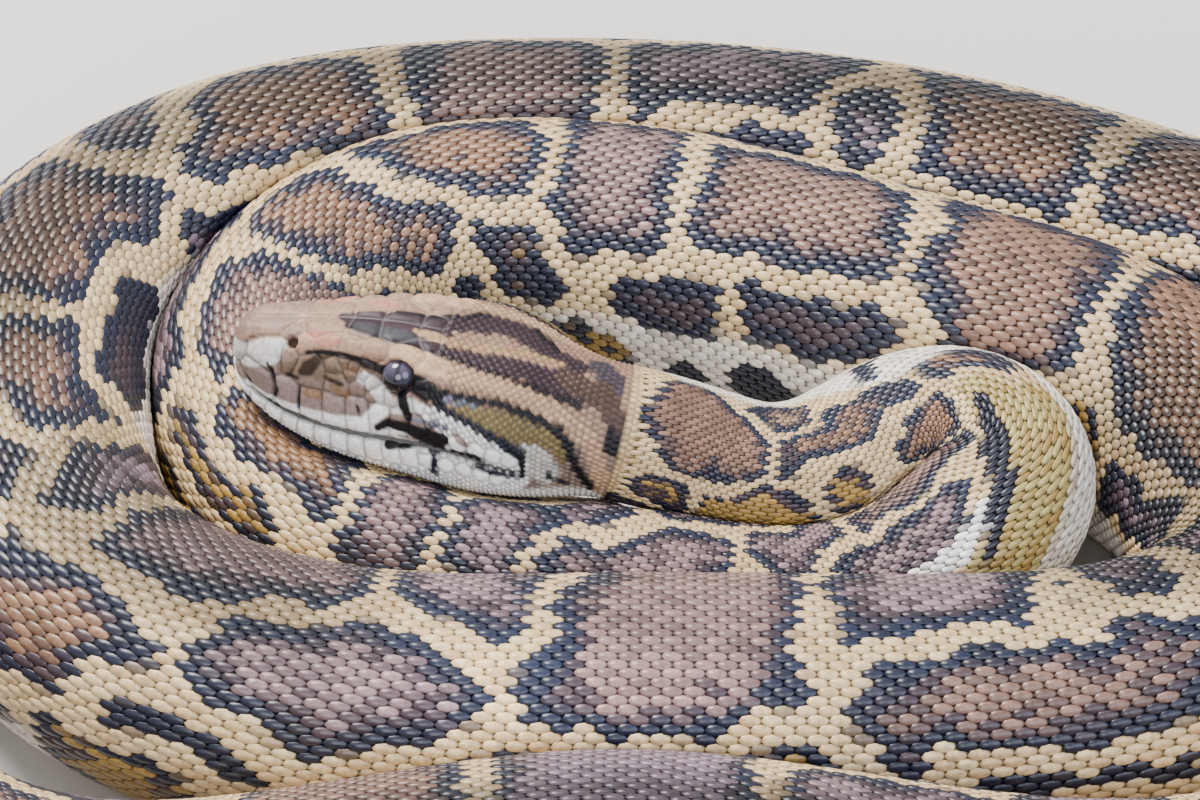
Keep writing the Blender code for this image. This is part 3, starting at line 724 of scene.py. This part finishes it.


# The hide lies under the scales and shows only between them, so its colour is darkened by painted shade.
skinForm = {
    "depth": 0.65, "headDepth": 1.5,  # how far it lies under the outer surface
    "neckRows": (92, 104),  # where the one depth passes into the other
    "thinShare": 0.45,  # the most of the radius that the depth may take, at the snout and the tail's tip
    "sides": 96, "headRows": 60, "headCrowding": 1.2, "bodySpacing": 3.2,
    "shade": 0.14,  # painted shade: how bright its colour is beside the scales
}


def bodyStations(values):
    count = values["headRows"]
    front = headEnd * (np.arange(1, count) / count) ** values["headCrowding"]
    return np.concatenate([front, np.arange(headEnd, bodyLength - 1, values["bodySpacing"])])


bodyGrid = surfaceGrid(bodyForm, body, bodyStations(skinForm), skinForm["sides"])
print("surface worked out")


def turnOf(place):
    return ((place + 0.5) % 1 - 0.5) * 360


def buildSkin(values):
    stations, sides = bodyGrid["stations"], values["sides"]
    rings = bodyGrid["rings"]
    behind = smoothStep(stations, *values["neckRows"])
    deep = values["headDepth"] + (values["depth"] - values["headDepth"]) * behind
    radius = np.linalg.norm(rings - rings.mean(1, keepdims=True), axis=2).min(1)
    deep = np.minimum(deep, radius * values["thinShare"])
    points = (rings - bodyGrid["normals"] * deep[:, None, None]).reshape(-1, 3)
    place = np.tile(np.arange(sides) / sides, len(stations))
    distance = np.repeat(stations, sides)
    chance = np.full(len(points), 0.5)
    colour = bodyPaint(distance, turnOf(place), chance)
    onHead = distance < values["neckRows"][1]
    onBody = smoothStep(distance[onHead], headEnd - 0.5, headEnd + 0.5)
    headColour = headPaint(points[onHead], turnOf(place[onHead]), chance[onHead])
    colour[onHead] = mix(headColour, colour[onHead], onBody)
    faces = closedTube(len(stations), sides)
    uv = tubeUnwrap(faces, np.interp(distance, (0, bodyLength), (0.01, 0.99)), place)
    # painted shade: the hide takes the coat's pattern, darkened by its shade
    return meshPiece("skin", points, faces, {"coatColour": withAlpha(colour * values["shade"])}, uv)


skin = buildSkin(skinForm)
print("skin made")

scaleForm = {
    "rows": 98, "tailRows": 60, "tailStart": 2140,  # rows that fit all round, and where the tail's begin
    "pitch": 5.0,  # length of body that one scale takes up at full girth
    "long": 1.18, "wide": 0.69, "cornerLong": 0.96, "cornerWide": 1.12,
    "topLong": 0.78, "topWide": 0.80, "topBack": 0.07,  # how the top is drawn in and pushed back
    "thick": 0.50, "sink": 0.60, "lift": 0.38,
    "highest": -0.03,  # no point of the coat stands higher than this over the outer surface
    "start": 98.5, "bellyHalf": 0.112,  # where the rows begin, and the half of the belly that has none
    "tipClear": 1.2,  # no scale goes on past this far from the tip of the tail
    "perPiece": 6400, "patch": 0.003,
}

# the broad scutes of the belly, a little longer than the scales beside them
scuteForm = {
    "pitchShare": 1.42, "long": 1.16, "across": 13, "along": 4, "half": 0.119, "thick": 0.5, "sink": 0.60,
    "start": 124, "tipClear": 6, "bow": 0.10, "drawnIn": 0.35,
}


def modelScale(values):
    # one scale, as a low eight-sided block whose top is drawn in, pushed back and raised to a point
    bpy.ops.mesh.primitive_cylinder_add(vertices=8, radius=0.5, depth=1, location=(0, 0, 0.5))
    block = bpy.context.object
    for vertex in block.data.vertices:
        if abs(vertex.co.x) > 0.1 and abs(vertex.co.y) > 0.1:
            vertex.co.x *= values["cornerLong"]
            vertex.co.y *= values["cornerWide"]
    bpy.ops.object.mode_set(mode="EDIT")
    bpy.ops.mesh.select_all(action="DESELECT")
    bpy.ops.object.mode_set(mode="OBJECT")
    for face in block.data.polygons:
        face.select = face.normal.z > 0.9
    bpy.ops.object.mode_set(mode="EDIT")
    bpy.ops.transform.resize(value=(values["topLong"], values["topWide"], 1))
    bpy.ops.transform.translate(value=(values["topBack"], 0, 0))
    bpy.ops.mesh.poke()
    bpy.ops.object.mode_set(mode="OBJECT")
    points = np.array([v.co for v in block.data.vertices])
    faces = [np.array(f.vertices) for f in block.data.polygons]
    bpy.data.objects.remove(block)
    return points, faces


def pitchAt(distance, fullPitch):
    # the length of body that a scale takes up there, which follows the girth
    return fullPitch * girthAt(bodyForm, distance) / bodyForm["fullGirth"]


def onePitchApart(fine, pitch, first):
    # distances that are one pitch apart, from that share of a pitch past the start
    phase = np.concatenate([[0], np.cumsum((fine[1] - fine[0]) / pitch[:-1])])
    return np.interp(np.arange(first, phase[-1]), phase, fine)


def scaleLattice(values):
    # distance, place, pitch and share of the turn for every scale
    found = []
    zones = (
        (values["start"], values["tailStart"], values["rows"]),
        (values["tailStart"], bodyLength - 4, values["tailRows"]),
    )
    for start, end, rows in zones:
        fine = np.arange(start, end, 0.5)
        pitch = pitchAt(fine, values["pitch"]) * values["rows"] / rows
        for row in range(rows):
            place = row / rows
            middle = onePitchApart(fine, pitch, 0.5 * (row % 2))
            if abs(place - 0.5) < values["bellyHalf"]:
                middle = middle[middle < scuteForm["start"] - 1]
            long = pitchAt(middle, values["pitch"]) * values["rows"] / rows
            same = np.ones(len(middle))
            found.append(np.stack([middle, place * same, long, same / rows], 1))
    lattice = np.concatenate(found)
    return lattice[np.argsort(lattice[:, 0], kind="stable")]


def coatPoints(distance, place, height):
    # points of the coat, with none past the tip of the tail or out of the outer surface
    distance = np.clip(distance, 0, bodyLength - scaleForm["tipClear"])
    return onSurface(bodyGrid, distance, place, np.minimum(height, scaleForm["highest"])).reshape(-1, 3)


def buildScales(values):
    template, templateFaces = modelScale(values)
    lattice = scaleLattice(values)
    random = np.random.default_rng(11)
    pieces = []
    chunks = np.array_split(lattice, math.ceil(len(lattice) / values["perPiece"]))
    top = template[:, 2] > 0
    along, across = template[:, 0], template[:, 1]
    peak = top & (np.hypot(along - values["topBack"], across) < 0.05)
    # height over the hide: the front edge is sunk, and the rear edge stands free
    rise = values["thick"] * (0.50 + 0.62 * (along + 0.3))
    rise = np.where(top, rise, values["lift"] * np.clip(along, 0, 1) - 0.12)
    rise = np.where(peak, values["thick"], rise)
    # how far up the scale's wall a point lies, which the material turns into painted shade at its foot
    edge = np.where(top, np.where(peak, 1.0, 0.55), 0.0)
    for number, rows in enumerate(chunks):
        count = len(rows)
        chance = random.random((count, 3))
        size = rows[:, 2:3] / values["pitch"]
        distance = rows[:, 0:1] + along * rows[:, 2:3] * values["long"]
        place = rows[:, 1:2] + across * 2 * rows[:, 3:4] * values["wide"]
        height = rise * size**0.6 * (0.92 + 0.16 * chance[:, 0:1]) - values["sink"]
        points = coatPoints(distance, place, height)
        colour = np.repeat(bodyPaint(rows[:, 0], turnOf(rows[:, 1]), chance[:, 1]), len(template), 0)
        parts = np.tile(along + 0.5, count), np.tile(edge, count), np.repeat(chance[:, 2], len(template))
        attributes = {"coatColour": withAlpha(colour), "scaleForm": np.stack(parts, 1)}
        first = np.arange(count) * len(template)
        faces = [corners for face in templateFaces for corners in first[:, None] + face]
        # each scale is a patch at its root's place on the hide's unwrap
        start, end = rows[0, 0] - 4, rows[-1, 0] + 8
        spot = np.stack([(rows[:, 0] - start) / (end - start), (rows[:, 1] + 0.5) % 1], 1)
        spots = (0.01 + 0.98 * spot)[:, None] + template[:, :2] * values["patch"]
        uv = spots.reshape(-1, 2)[np.concatenate(faces)]
        pieces.append(meshPiece(f"scales{number + 1}", points, faces, attributes, uv))
    print(len(lattice), "scales in", len(pieces), "pieces")
    return pieces


scalePieces = buildScales(scaleForm)


def scuteFaces(nu, nv):
    # a top and an underside of nu by nv points, joined round the rim
    sheet = nu * nv
    faces = []
    for i in range(nu - 1):
        for j in range(nv - 1):
            a, b, c, d = i * nv + j, i * nv + j + 1, (i + 1) * nv + j + 1, (i + 1) * nv + j
            faces += [(a, b, c, d), (sheet + a, sheet + d, sheet + c, sheet + b)]
    border = [(0, j) for j in range(nv - 1)] + [(i, nv - 1) for i in range(nu - 1)]
    border += [(nu - 1, j) for j in range(nv - 1, 0, -1)] + [(i, 0) for i in range(nu - 1, 0, -1)]
    loop = [i * nv + j for i, j in border]
    faces += [(b, a, sheet + a, sheet + b) for a, b in zip(loop, loop[1:] + loop[:1])]
    return np.array(faces)


def buildScutes(values):
    fullPitch = values["pitchShare"] * scaleForm["pitch"]
    fine = np.arange(values["start"], bodyLength - values["tipClear"], 0.5)
    middle = onePitchApart(fine, pitchAt(fine, fullPitch), 0.5)
    long = pitchAt(middle, fullPitch)
    nu, nv = values["along"], values["across"]
    x, y = np.meshgrid(np.linspace(-0.5, 0.5, nu), np.linspace(-1, 1, nv), indexing="ij")
    rim = (np.abs(x) > 0.49) | (np.abs(y) > 0.99)
    # the rear edge bows back towards the middle, and the ends are drawn in
    xs = (x * (1 - values["drawnIn"] * np.abs(y) ** 6) + values["bow"] * (1 - y**2)).ravel()
    xs, ys = np.tile(xs, 2), np.tile(y.ravel() * values["half"], 2)
    topRise = values["thick"] * (0.30 + 0.70 * (x + 0.5)) * np.where(rim, 0.75, 1.0)
    lowRise = np.where(x > 0.4, 0.10, -0.15)
    rise = np.concatenate([topRise.ravel(), lowRise.ravel()])
    count, each = len(middle), len(rise)
    distance = middle[:, None] + xs * long[:, None] * values["long"]
    place = 0.5 + np.broadcast_to(ys, distance.shape)
    size = (long / fullPitch)[:, None]
    points = coatPoints(distance, place, rise * size**0.6 - values["sink"])
    chance = np.repeat(np.random.default_rng(5).random(count), each)
    colour = bodyPaint(distance.ravel(), turnOf(place.ravel()), 0.5 * chance)
    along = np.tile(np.tile(x.ravel(), 2) + 0.5, count)
    # painted shade: the material darkens the undersides, and the rim walls towards them
    edge = np.tile(np.concatenate([1 - 0.5 * rim.ravel(), 0 * lowRise.ravel()]), count)
    attributes = {"coatColour": withAlpha(colour), "scaleForm": np.stack([along, edge, chance], 1)}
    faces = (np.arange(count)[:, None, None] * each + scuteFaces(nu, nv)).reshape(-1, 4)
    # on the unwrap the undersides lie in a narrow strip beside the tops
    u = 0.01 + 0.98 * (middle[:, None] + xs * long[:, None] * 0.8).ravel() / bodyLength
    lower = np.tile(np.repeat([0, 1], nu * nv), count)
    v = 0.5 + np.tile(ys, count) * np.where(lower == 1, 0.3, 3.0) + 0.45 * lower
    uv = np.stack([np.clip(u, 0, 1), np.clip(v, 0, 1)], 1)[faces.ravel()]
    return meshPiece("bellyScutes", points, faces, attributes, uv)


scutes = buildScutes(scuteForm)
print("belly scutes made")

# The larger plates of the left side are (distance, turn, size), where a larger size takes more room from its
# neighbours.
plateForm = {
    "top": (
        (10.5, 14, 3.0), (24.5, 13, 3.4), (26, 35, 2.2), (32.2, 36, 2.0), (38.2, 36, 2.0), (33.8, 14, 2.6),
        (42, 9, 3.0), (46, 30, 2.8), (50, 6, 1.2), (51, 16, 1.2), (54, 27, 1.2), (54.5, 36, 1.1),
    ),
    "side": (
        (11.5, 50, 2.2), (19.6, 41, 0.8), (22.5, 58, 2.2), (29.5, 62, 1.1), (28.4, 53, 0.8), (33, 57, 0.4),
        (35, 62, 0.4), (36, 55, 0.4), (38.5, 60, 0.6), (33.2, 51.5, 0.4), (30.8, 49, 0.5), (37, 49.5, 0.5),
        (40.4, 48, 0.8), (40.4, 66, 0.8), (43.6, 66, 0.6), (47.6, 66, 0.7), (51.2, 61, 0.7), (52.0, 54, 0.7),
        (51.6, 46, 0.7), (50.6, 39.5, 0.7), (16.2, 52, 0.9), (16.0, 31, 0.6),
    ),
    # the plates of the lips, as the turn of their row, their size and their places
    "upperLabials": (77, 1.6, (9.5, 17.0, 23.5, 29.5, 35.8, 41.6, 46.6, 51.6, 56.6, 61.6, 66.6, 71.4, 75.6)),
    "lowerLabials": (101, 1.4, tuple(4.0 + 4.6 * k for k in range(16))),
    "chin": ((11, 138, 2.0), (19, 144, 2.0), (4.5, 128, 1.2)),
    "middle": ((1.2, 0, 2.6), (2.5, 180, 1.6)),  # the plates at the tip of the snout and of the chin
    "groove": 0.42, "grooveWidth": 0.34, "dome": 0.30, "level": -0.12,
    "tuck": (97.0, 99.2),  # over this stretch the plates pass under the first scales of the neck
    # a ridge over the eye: its ends, its height, and how far it spreads
    "brow": (38, 33, 51, 31, 0.7, 0.5, 4.5),
    "mouthEnd": 77.5, "mouthDepth": 1.5, "mouthWidth": 0.55, "mouthSoftness": 2, "lipRadius": 19,
    "lipHollow": (0.25, 1.6),  # depth and width of the shallow hollow along the mouth
    "nostril": (16.6, 40.5, 1.3, 3.0), "nostrilRim": (0.22, 1.7, 0.6),
    # heat pits: from, to, half width and depth
    "pits": ((12.4, 63, 13.9, 79, 0.42, 1.1), (20.1, 68, 20.4, 80, 0.30, 0.6), (3.2, 66, 3.2, 66, 0.8, 0.7)),
    "sides": 300, "spacing": 0.4, "end": 102.5,
    "smallFrom": 53.0, "smallRows": 136, "smallPitch": 2.3, "smallClear": 0.9,
    "throatFrom": 8, "throatTurn": 112, "crownTurn": 42,
}
eyePlace = {
    "share": 0.475, "out": 12.1, "up": 14.6, "radius": 4.5,
    "gazeUp": 34,  # degrees that the eye looks up from level
    "socket": (3.95, 4.55),  # radii where the edge of the socket begins and ends
    "socketFloor": 1.15,  # how far the floor of the socket is in front of the eye's centre
}


def eyeFrame(values, side):
    # the eye's centre, and the directions of its gaze, its top and the snout
    (middle,), (up,), (left,), _ = readBody(body, np.array([values["share"] * bodyForm["headLength"]]))
    centre = middle + left * side * values["out"] + up * values["up"]
    lean = math.radians(values["gazeUp"])
    gaze = left * side * math.cos(lean) + up * math.sin(lean)
    top = up * math.cos(lean) - left * side * math.sin(lean)
    return centre, gaze, top, np.cross(top, gaze) * side


def plateSeeds(values):
    # the middle of every plate, its size, and how many of them are the large ones
    seeds = [(headPoint(s, t), size) for s, t, size in values["middle"]]
    for side in (1, -1):
        for part in ("top", "side", "chin"):
            seeds += [(headPoint(s, t * side), size) for s, t, size in values[part]]
        for lip in ("upperLabials", "lowerLabials"):
            t, size, places = values[lip]
            seeds += [(headPoint(s, t * side), size) for s in places]
    named = np.array([p for p, _ in seeds])
    sizes = np.array([size for _, size in seeds])
    # small scales fill the rear of the head and the throat, on the same lattice as the body's
    rows, pitch = values["smallRows"], values["smallPitch"]
    small = []
    for row in range(rows):
        turn = turnOf(row / rows)
        onThroat = abs(turn) > values["throatTurn"]
        for step in range(60):
            s = values["end"] + 3 - pitch * (step + 0.5 * (row % 2))
            if s <= (values["throatFrom"] if onThroat else values["smallFrom"]):
                break
            point = headPoint(s, turn)
            if (np.linalg.norm(named - point, axis=1) - sizes).min() > values["smallClear"]:
                small.append(point)
    small = np.array(small)
    return np.concatenate([named, small]), np.concatenate([sizes, np.zeros(len(small))]), len(named)


def cellEdges(points, seeds, sizes):
    # the nearest seed of each point, and how far the point is from the border with the next one
    nearest, border = [], []
    for block in np.array_split(points, math.ceil(len(points) / 4000)):
        away = np.sqrt(((block[:, None] - seeds[None]) ** 2).sum(-1)) - sizes
        two = np.argpartition(away, 1, axis=1)[:, :2]
        pair = np.take_along_axis(away, two, 1)
        nearest.append(np.where(pair[:, 0] > pair[:, 1], two[:, 1], two[:, 0]))
        border.append(np.abs(pair[:, 1] - pair[:, 0]) / 2)
    return np.concatenate(nearest), np.concatenate(border)


def turnsOfSeeds(turn, nearest, count):
    # the mean turn of each seed's own points
    east = np.bincount(nearest, np.cos(np.radians(turn)), count)
    north = np.bincount(nearest, np.sin(np.radians(turn)), count)
    return np.degrees(np.arctan2(north, east))


def roundMouth(values, distance, turn):
    # how open the mouth's groove is, and how far each point is from it
    lip = np.abs(np.abs(turn) - 90) / 360 * 2 * math.pi * values["lipRadius"]
    end, soft = values["mouthEnd"], values["mouthSoftness"]
    return 1 - smoothStep(distance, end - soft, end + soft), lip


def fromNostril(values, points, side):
    return np.linalg.norm(points - headPoint(values["nostril"][0], values["nostril"][1] * side), axis=1)


def plateHeights(values, points, distance, turn, border, small):
    # each plate is a low dome in a groove, and the brow, mouth, nostrils and heat pits are worked into them
    height = np.full(len(points), values["level"])
    height -= values["groove"] * np.where(small, 0.7, 1) * np.exp(-((border / values["grooveWidth"]) ** 2))
    slope = 1 - smoothStep(border, 0, np.where(small, 0.9, 1.9))
    height -= values["dome"] * np.where(small, 0.8, 1) * slope
    height -= smoothStep(distance, *values["tuck"])
    for side in (1, -1):
        s0, t0, s1, t1, high, near, far = values["brow"]
        away, _ = segmentDistance(points, headPoint(s0, t0 * side), headPoint(s1, t1 * side))
        height += high * (1 - smoothStep(away, near, far))
    openness, lip = roundMouth(values, distance, turn)
    height -= values["mouthDepth"] * openness * np.exp(-((lip / values["mouthWidth"]) ** 2))
    height -= values["lipHollow"][0] * openness * np.exp(-((lip / values["lipHollow"][1]) ** 2))
    for side in (1, -1):
        _, _, wide, deep = values["nostril"]
        away = fromNostril(values, points, side)
        height -= deep * np.exp(-((away / wide) ** 4))
        high, out, soft = values["nostrilRim"]
        height += high * np.exp(-(((away - wide * out) / soft) ** 2))
        for s0, t0, s1, t1, wide, deep in values["pits"]:
            away, _ = segmentDistance(points, headPoint(s0, t0 * side), headPoint(s1, t1 * side))
            height -= deep * np.exp(-((away / wide) ** 2))
    return height


def openSockets(points):
    # the plates stop round each eye, and the floor of the socket lies behind it
    for side in (1, -1):
        centre, gaze, _, _ = eyeFrame(eyePlace, side)
        offset = points - centre
        level = offset @ gaze
        away = np.linalg.norm(offset - level[:, None] * gaze, axis=1)
        sunk = (1 - smoothStep(away, *eyePlace["socket"])) * (level > 0)
        points = points + gaze * ((np.minimum(level, eyePlace["socketFloor"]) - level) * sunk)[:, None]
    return points


def paintPlateLightAndShade(values, colour, points, distance, turn, border, small):
    # sutures get a painted highlight that makes them a little paler on the crown, and painted shade that
    # makes them dark between the scales of the sides and the nape
    suture = np.exp(-((border / 0.30) ** 2))
    onCrown = ~small & (np.abs(turn) < values["crownTurn"])
    colour = mix(colour, headTones["lip"] * 0.6, np.where(onCrown, suture * 0.12, 0))
    colour = mix(colour, colour * 0.3, np.where(onCrown, 0, suture * 0.75))
    openness, lip = roundMouth(values, distance, turn)
    # painted shade: the groove of the mouth and the nostrils are darkened to the nostril tone
    dark = openness * np.exp(-((lip / values["mouthWidth"]) ** 2))
    wide = values["nostril"][2]
    for side in (1, -1):
        dark = np.maximum(dark, 1 - smoothStep(fromNostril(values, points, side), wide * 0.8, wide * 1.25))
    return mix(colour, headTones["nostril"], dark)


def buildHeadPlates(values):
    front = 10 * (np.arange(1, 26) / 26) ** 1.5
    stations = np.concatenate([[0.03], front, np.arange(10.4, values["end"], values["spacing"])])
    sides = values["sides"]
    grid = surfaceGrid(bodyForm, body, stations, sides)
    flat, normals = grid["rings"].reshape(-1, 3), grid["normals"].reshape(-1, 3)
    distance = np.repeat(stations, sides)
    place = np.tile(np.arange(sides) / sides, len(stations))
    turn = turnOf(place)
    seeds, sizes, namedCount = plateSeeds(values)
    nearest, border = cellEdges(flat, seeds, sizes)
    small = nearest >= namedCount
    random = np.random.default_rng(3)
    chance = random.random(len(seeds))[nearest]
    height = plateHeights(values, flat, distance, turn, border, small)
    points = openSockets(flat + normals * height[:, None])
    colour = headPaint(flat, turn, chance)
    seedTurns = turnsOfSeeds(turn, nearest, len(seeds))
    byScale = headPaint(seeds, seedTurns, random.random(len(seeds)))[nearest]
    colour = mix(colour, byScale, np.where(small, 0.85, 0.0))
    onBody = smoothStep(distance, headEnd - 0.4, headEnd + 0.4)
    colour = mix(colour, bodyPaint(distance, turn, chance), onBody)
    colour = paintPlateLightAndShade(values, colour, flat, distance, turn, border, small)
    faces = closedTube(len(stations), sides)
    uv = tubeUnwrap(faces, 0.01 + 0.98 * distance / values["end"], place)
    form = np.stack([np.full(len(flat), 0.5), np.clip(border / 1.2, 0, 1), chance], 1)
    return meshPiece("headPlates", points, faces, {"coatColour": withAlpha(colour), "scaleForm": form}, uv)


headPlates = buildHeadPlates(plateForm)
print("head plates made")


def buildEye(name, side, values):
    centre, gaze, top, ahead = eyeFrame(values, side)
    bpy.ops.mesh.primitive_uv_sphere_add(segments=64, ring_count=40, radius=values["radius"] / 1000)
    eye = bpy.context.object
    eye.name = eye.data.name = name
    co = np.array([v.co for v in eye.data.vertices])
    # the poles of the sphere point along the gaze
    placed = co[:, 2:3] * gaze + co[:, 0:1] * ahead + co[:, 1:2] * top + centre / 1000
    eye.data.vertices.foreach_set("co", placed.astype(np.float32).ravel())
    if np.cross(ahead, top) @ gaze < 0:
        eye.data.flip_normals()
    layer = eye.data.attributes.new("gaze", "FLOAT_VECTOR", "POINT")
    layer.data.foreach_set("vector", (co / (values["radius"] / 1000)).astype(np.float32).ravel())
    eye.data.shade_smooth()
    return eye


eyes = [buildEye("eyeLeft", 1, eyePlace), buildEye("eyeRight", -1, eyePlace)]
print("eyes made")

bpy.ops.mesh.primitive_plane_add(size=8)
floor = bpy.context.object
floor.name = "studioFloor"


def addNode(tree, kind, settings=None, links=None):
    node = tree.nodes.new(kind)
    for name, value in (settings or {}).items():
        if name in node.inputs:
            node.inputs[name].default_value = value
        else:
            setattr(node, name, value)
    for name, source in (links or {}).items():
        tree.links.new(source, node.inputs[name])
    return node


def newMaterial(name, **values):
    material = bpy.data.materials.new(name)
    material.use_nodes = True
    tree = material.node_tree
    shader = tree.nodes["Principled BSDF"]
    for key, value in values.items():
        shader.inputs[key].default_value = value
    return material, tree, shader


def coatMaterial(name, roughness, specks, bumpMm, tipsAndEdgeShade, gloss):
    # dry keratin over pigmented skin: satin, with a fine mottle of specks that many mm across, and on the
    # scales a dark tip and painted shade along the foot of each scale's edge
    settings = {"IOR": 1.5, "Specular IOR Level": gloss, "Coat Weight": 0.15 * gloss, "Coat Roughness": 0.22}
    material, tree, shader = newMaterial(name, **settings)
    attribute = addNode(tree, "ShaderNodeAttribute", {"attribute_name": "coatColour"})
    form = addNode(tree, "ShaderNodeAttribute", {"attribute_name": "scaleForm"})
    parts = addNode(tree, "ShaderNodeSeparateXYZ", links={"Vector": form.outputs["Vector"]})
    place = addNode(tree, "ShaderNodeTexCoord")
    speck = addNode(
        tree, "ShaderNodeTexNoise", {"Scale": 1000 / specks, "Detail": 3.0, "Roughness": 0.6},
        {"Vector": place.outputs["Object"]},
    )
    # what darkens the colour in turn: the range read, the range given, and what is read
    shades = [(0.3, 0.7, 0.72, 1.22, speck.outputs["Fac"])]
    if tipsAndEdgeShade:
        # the second darkens the rear tip; the third is painted shade down the wall of each scale, where it
        # meets the hide
        shades += [(0.80, 1.0, 1.0, 0.42, parts.outputs["X"]), (0.0, 0.45, 0.5, 1.0, parts.outputs["Y"])]
    colour = attribute.outputs["Color"]
    for low, high, first, last, source in shades:
        span = {"From Min": low, "From Max": high, "To Min": first, "To Max": last}
        shade = addNode(tree, "ShaderNodeMapRange", span, {"Value": source})
        links = {0: colour, "Scale": shade.outputs["Result"]}
        shaded = addNode(tree, "ShaderNodeVectorMath", {"operation": "SCALE"}, links)
        colour = shaded.outputs["Vector"]
    tree.links.new(colour, shader.inputs["Base Color"])
    span = {"To Min": roughness - 0.08, "To Max": roughness + 0.12}
    satin = addNode(tree, "ShaderNodeMapRange", span, {"Value": speck.outputs["Fac"]})
    tree.links.new(satin.outputs["Result"], shader.inputs["Roughness"])
    grain = {"Strength": 0.35, "Distance": bumpMm / 1000}
    bump = addNode(tree, "ShaderNodeBump", grain, {"Height": speck.outputs["Fac"]})
    tree.links.new(bump.outputs["Normal"], shader.inputs["Normal"])
    return material


def eyeMaterial():
    # a wet eye under its clear scale: nearly black below, with a painted reflection of the sky that makes it
    # violet grey above, and a faint upright slit
    settings = {"Roughness": 0.12, "IOR": 1.38, "Coat Weight": 1.0, "Coat Roughness": 0.02, "Coat IOR": 1.45}
    material, tree, shader = newMaterial("wet dark eye", **settings)
    gaze = addNode(tree, "ShaderNodeAttribute", {"attribute_name": "gaze"})
    parts = addNode(tree, "ShaderNodeSeparateXYZ", links={"Vector": gaze.outputs["Vector"]})
    span = {"From Min": -0.35, "From Max": 0.7}
    high = addNode(tree, "ShaderNodeMapRange", span, {"Value": parts.outputs["Y"]})
    irisAndReflection = addNode(tree, "ShaderNodeValToRGB", links={"Fac": high.outputs["Result"]})
    irisAndReflection.color_ramp.elements[0].color = (*linear("#0E0F18"), 1)
    irisAndReflection.color_ramp.elements[1].color = (*linear("#565064"), 1)
    slit = addNode(tree, "ShaderNodeMath", {"operation": "ABSOLUTE"}, {0: parts.outputs["X"]})
    span = {"From Min": 0.06, "From Max": 0.16, "To Min": 0.35, "To Max": 1.0}
    pupil = addNode(tree, "ShaderNodeMapRange", span, {"Value": slit.outputs["Value"]})
    links = {0: irisAndReflection.outputs["Color"], "Scale": pupil.outputs["Result"]}
    colour = addNode(tree, "ShaderNodeVectorMath", {"operation": "SCALE"}, links)
    tree.links.new(colour.outputs["Vector"], shader.inputs["Base Color"])
    return material


def floorMaterial():
    # painted board: pale, and so matt that it shows no reflection
    settings = {"Base Color": (*linear("#D9D6D1"), 1), "Roughness": 0.8}
    material, tree, shader = newMaterial("pale matt board", **settings)
    place = addNode(tree, "ShaderNodeTexCoord")
    grain = addNode(
        tree, "ShaderNodeTexNoise", {"Scale": 60.0, "Detail": 4.0}, {"Vector": place.outputs["Object"]},
    )
    relief = {"Strength": 0.05, "Distance": 0.001}
    bump = addNode(tree, "ShaderNodeBump", relief, {"Height": grain.outputs["Fac"]})
    tree.links.new(bump.outputs["Normal"], shader.inputs["Normal"])
    return material


coats = (
    # pieces, name, roughness, size of the specks and height of the grain in mm, dark tips and painted shade
    # at the scales' feet, gloss
    (scalePieces, "satin scale keratin", 0.34, 1.6, 0.12, True, 0.5),  # a soft sheen along the back
    ([headPlates], "smooth head keratin", 0.46, 1.2, 0.08, False, 0.22),  # duller, with little glint
    ([scutes], "polished belly keratin", 0.30, 2.2, 0.06, True, 0.35),  # rubbed smooth by the ground
    ([skin], "soft hide between scales", 0.75, 0.9, 0.15, False, 0.1),  # dull, so that the gaps stay dark
)
for pieces, *values in coats:
    material = coatMaterial(*values)
    for piece in pieces:
        piece.data.materials.append(material)
wetEye = eyeMaterial()
for eye in eyes:
    eye.data.materials.append(wetEye)
floor.data.materials.append(floorMaterial())
print("materials made")

# The studio has three soft lights, each turned to the middle of the coil, under an even pale sky.
studioLights = (
    # name, place, size, power, colour
    ("keyLight", (-0.9, 0.9, 1.9), 1.1, 105, "#FFF9F2"),
    ("fillLight", (1.3, -1.2, 1.5), 1.6, 28, "#E6EEFF"),
    ("frontLight", (-0.4, -1.8, 1.4), 1.4, 30, "#FAFBFF"),
)
for name, place, size, power, tint in studioLights:
    bpy.ops.object.light_add(type="AREA", location=place)
    light = bpy.context.object
    light.name = name
    light.data.shape, light.data.size, light.data.energy = "DISK", size, power
    light.data.color = linear(tint)
    light.rotation_euler = (-Vector(place)).to_track_quat("-Z", "Y").to_euler()
world = bpy.data.worlds.new("studioWorld")
bpy.context.scene.world = world
world.use_nodes = True
sky = world.node_tree.nodes["Background"]
sky.inputs["Color"].default_value = (*linear("#E2E9F4"), 1)
sky.inputs["Strength"].default_value = 0.82
print("lights set")

fleshNodes = [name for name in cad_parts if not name.startswith("eye")]
for piece in [skin, headPlates, scutes, *scalePieces, *eyes]:
    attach(piece, "root")
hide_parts(*fleshNodes)
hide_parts("eye_left")
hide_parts("eye_right")
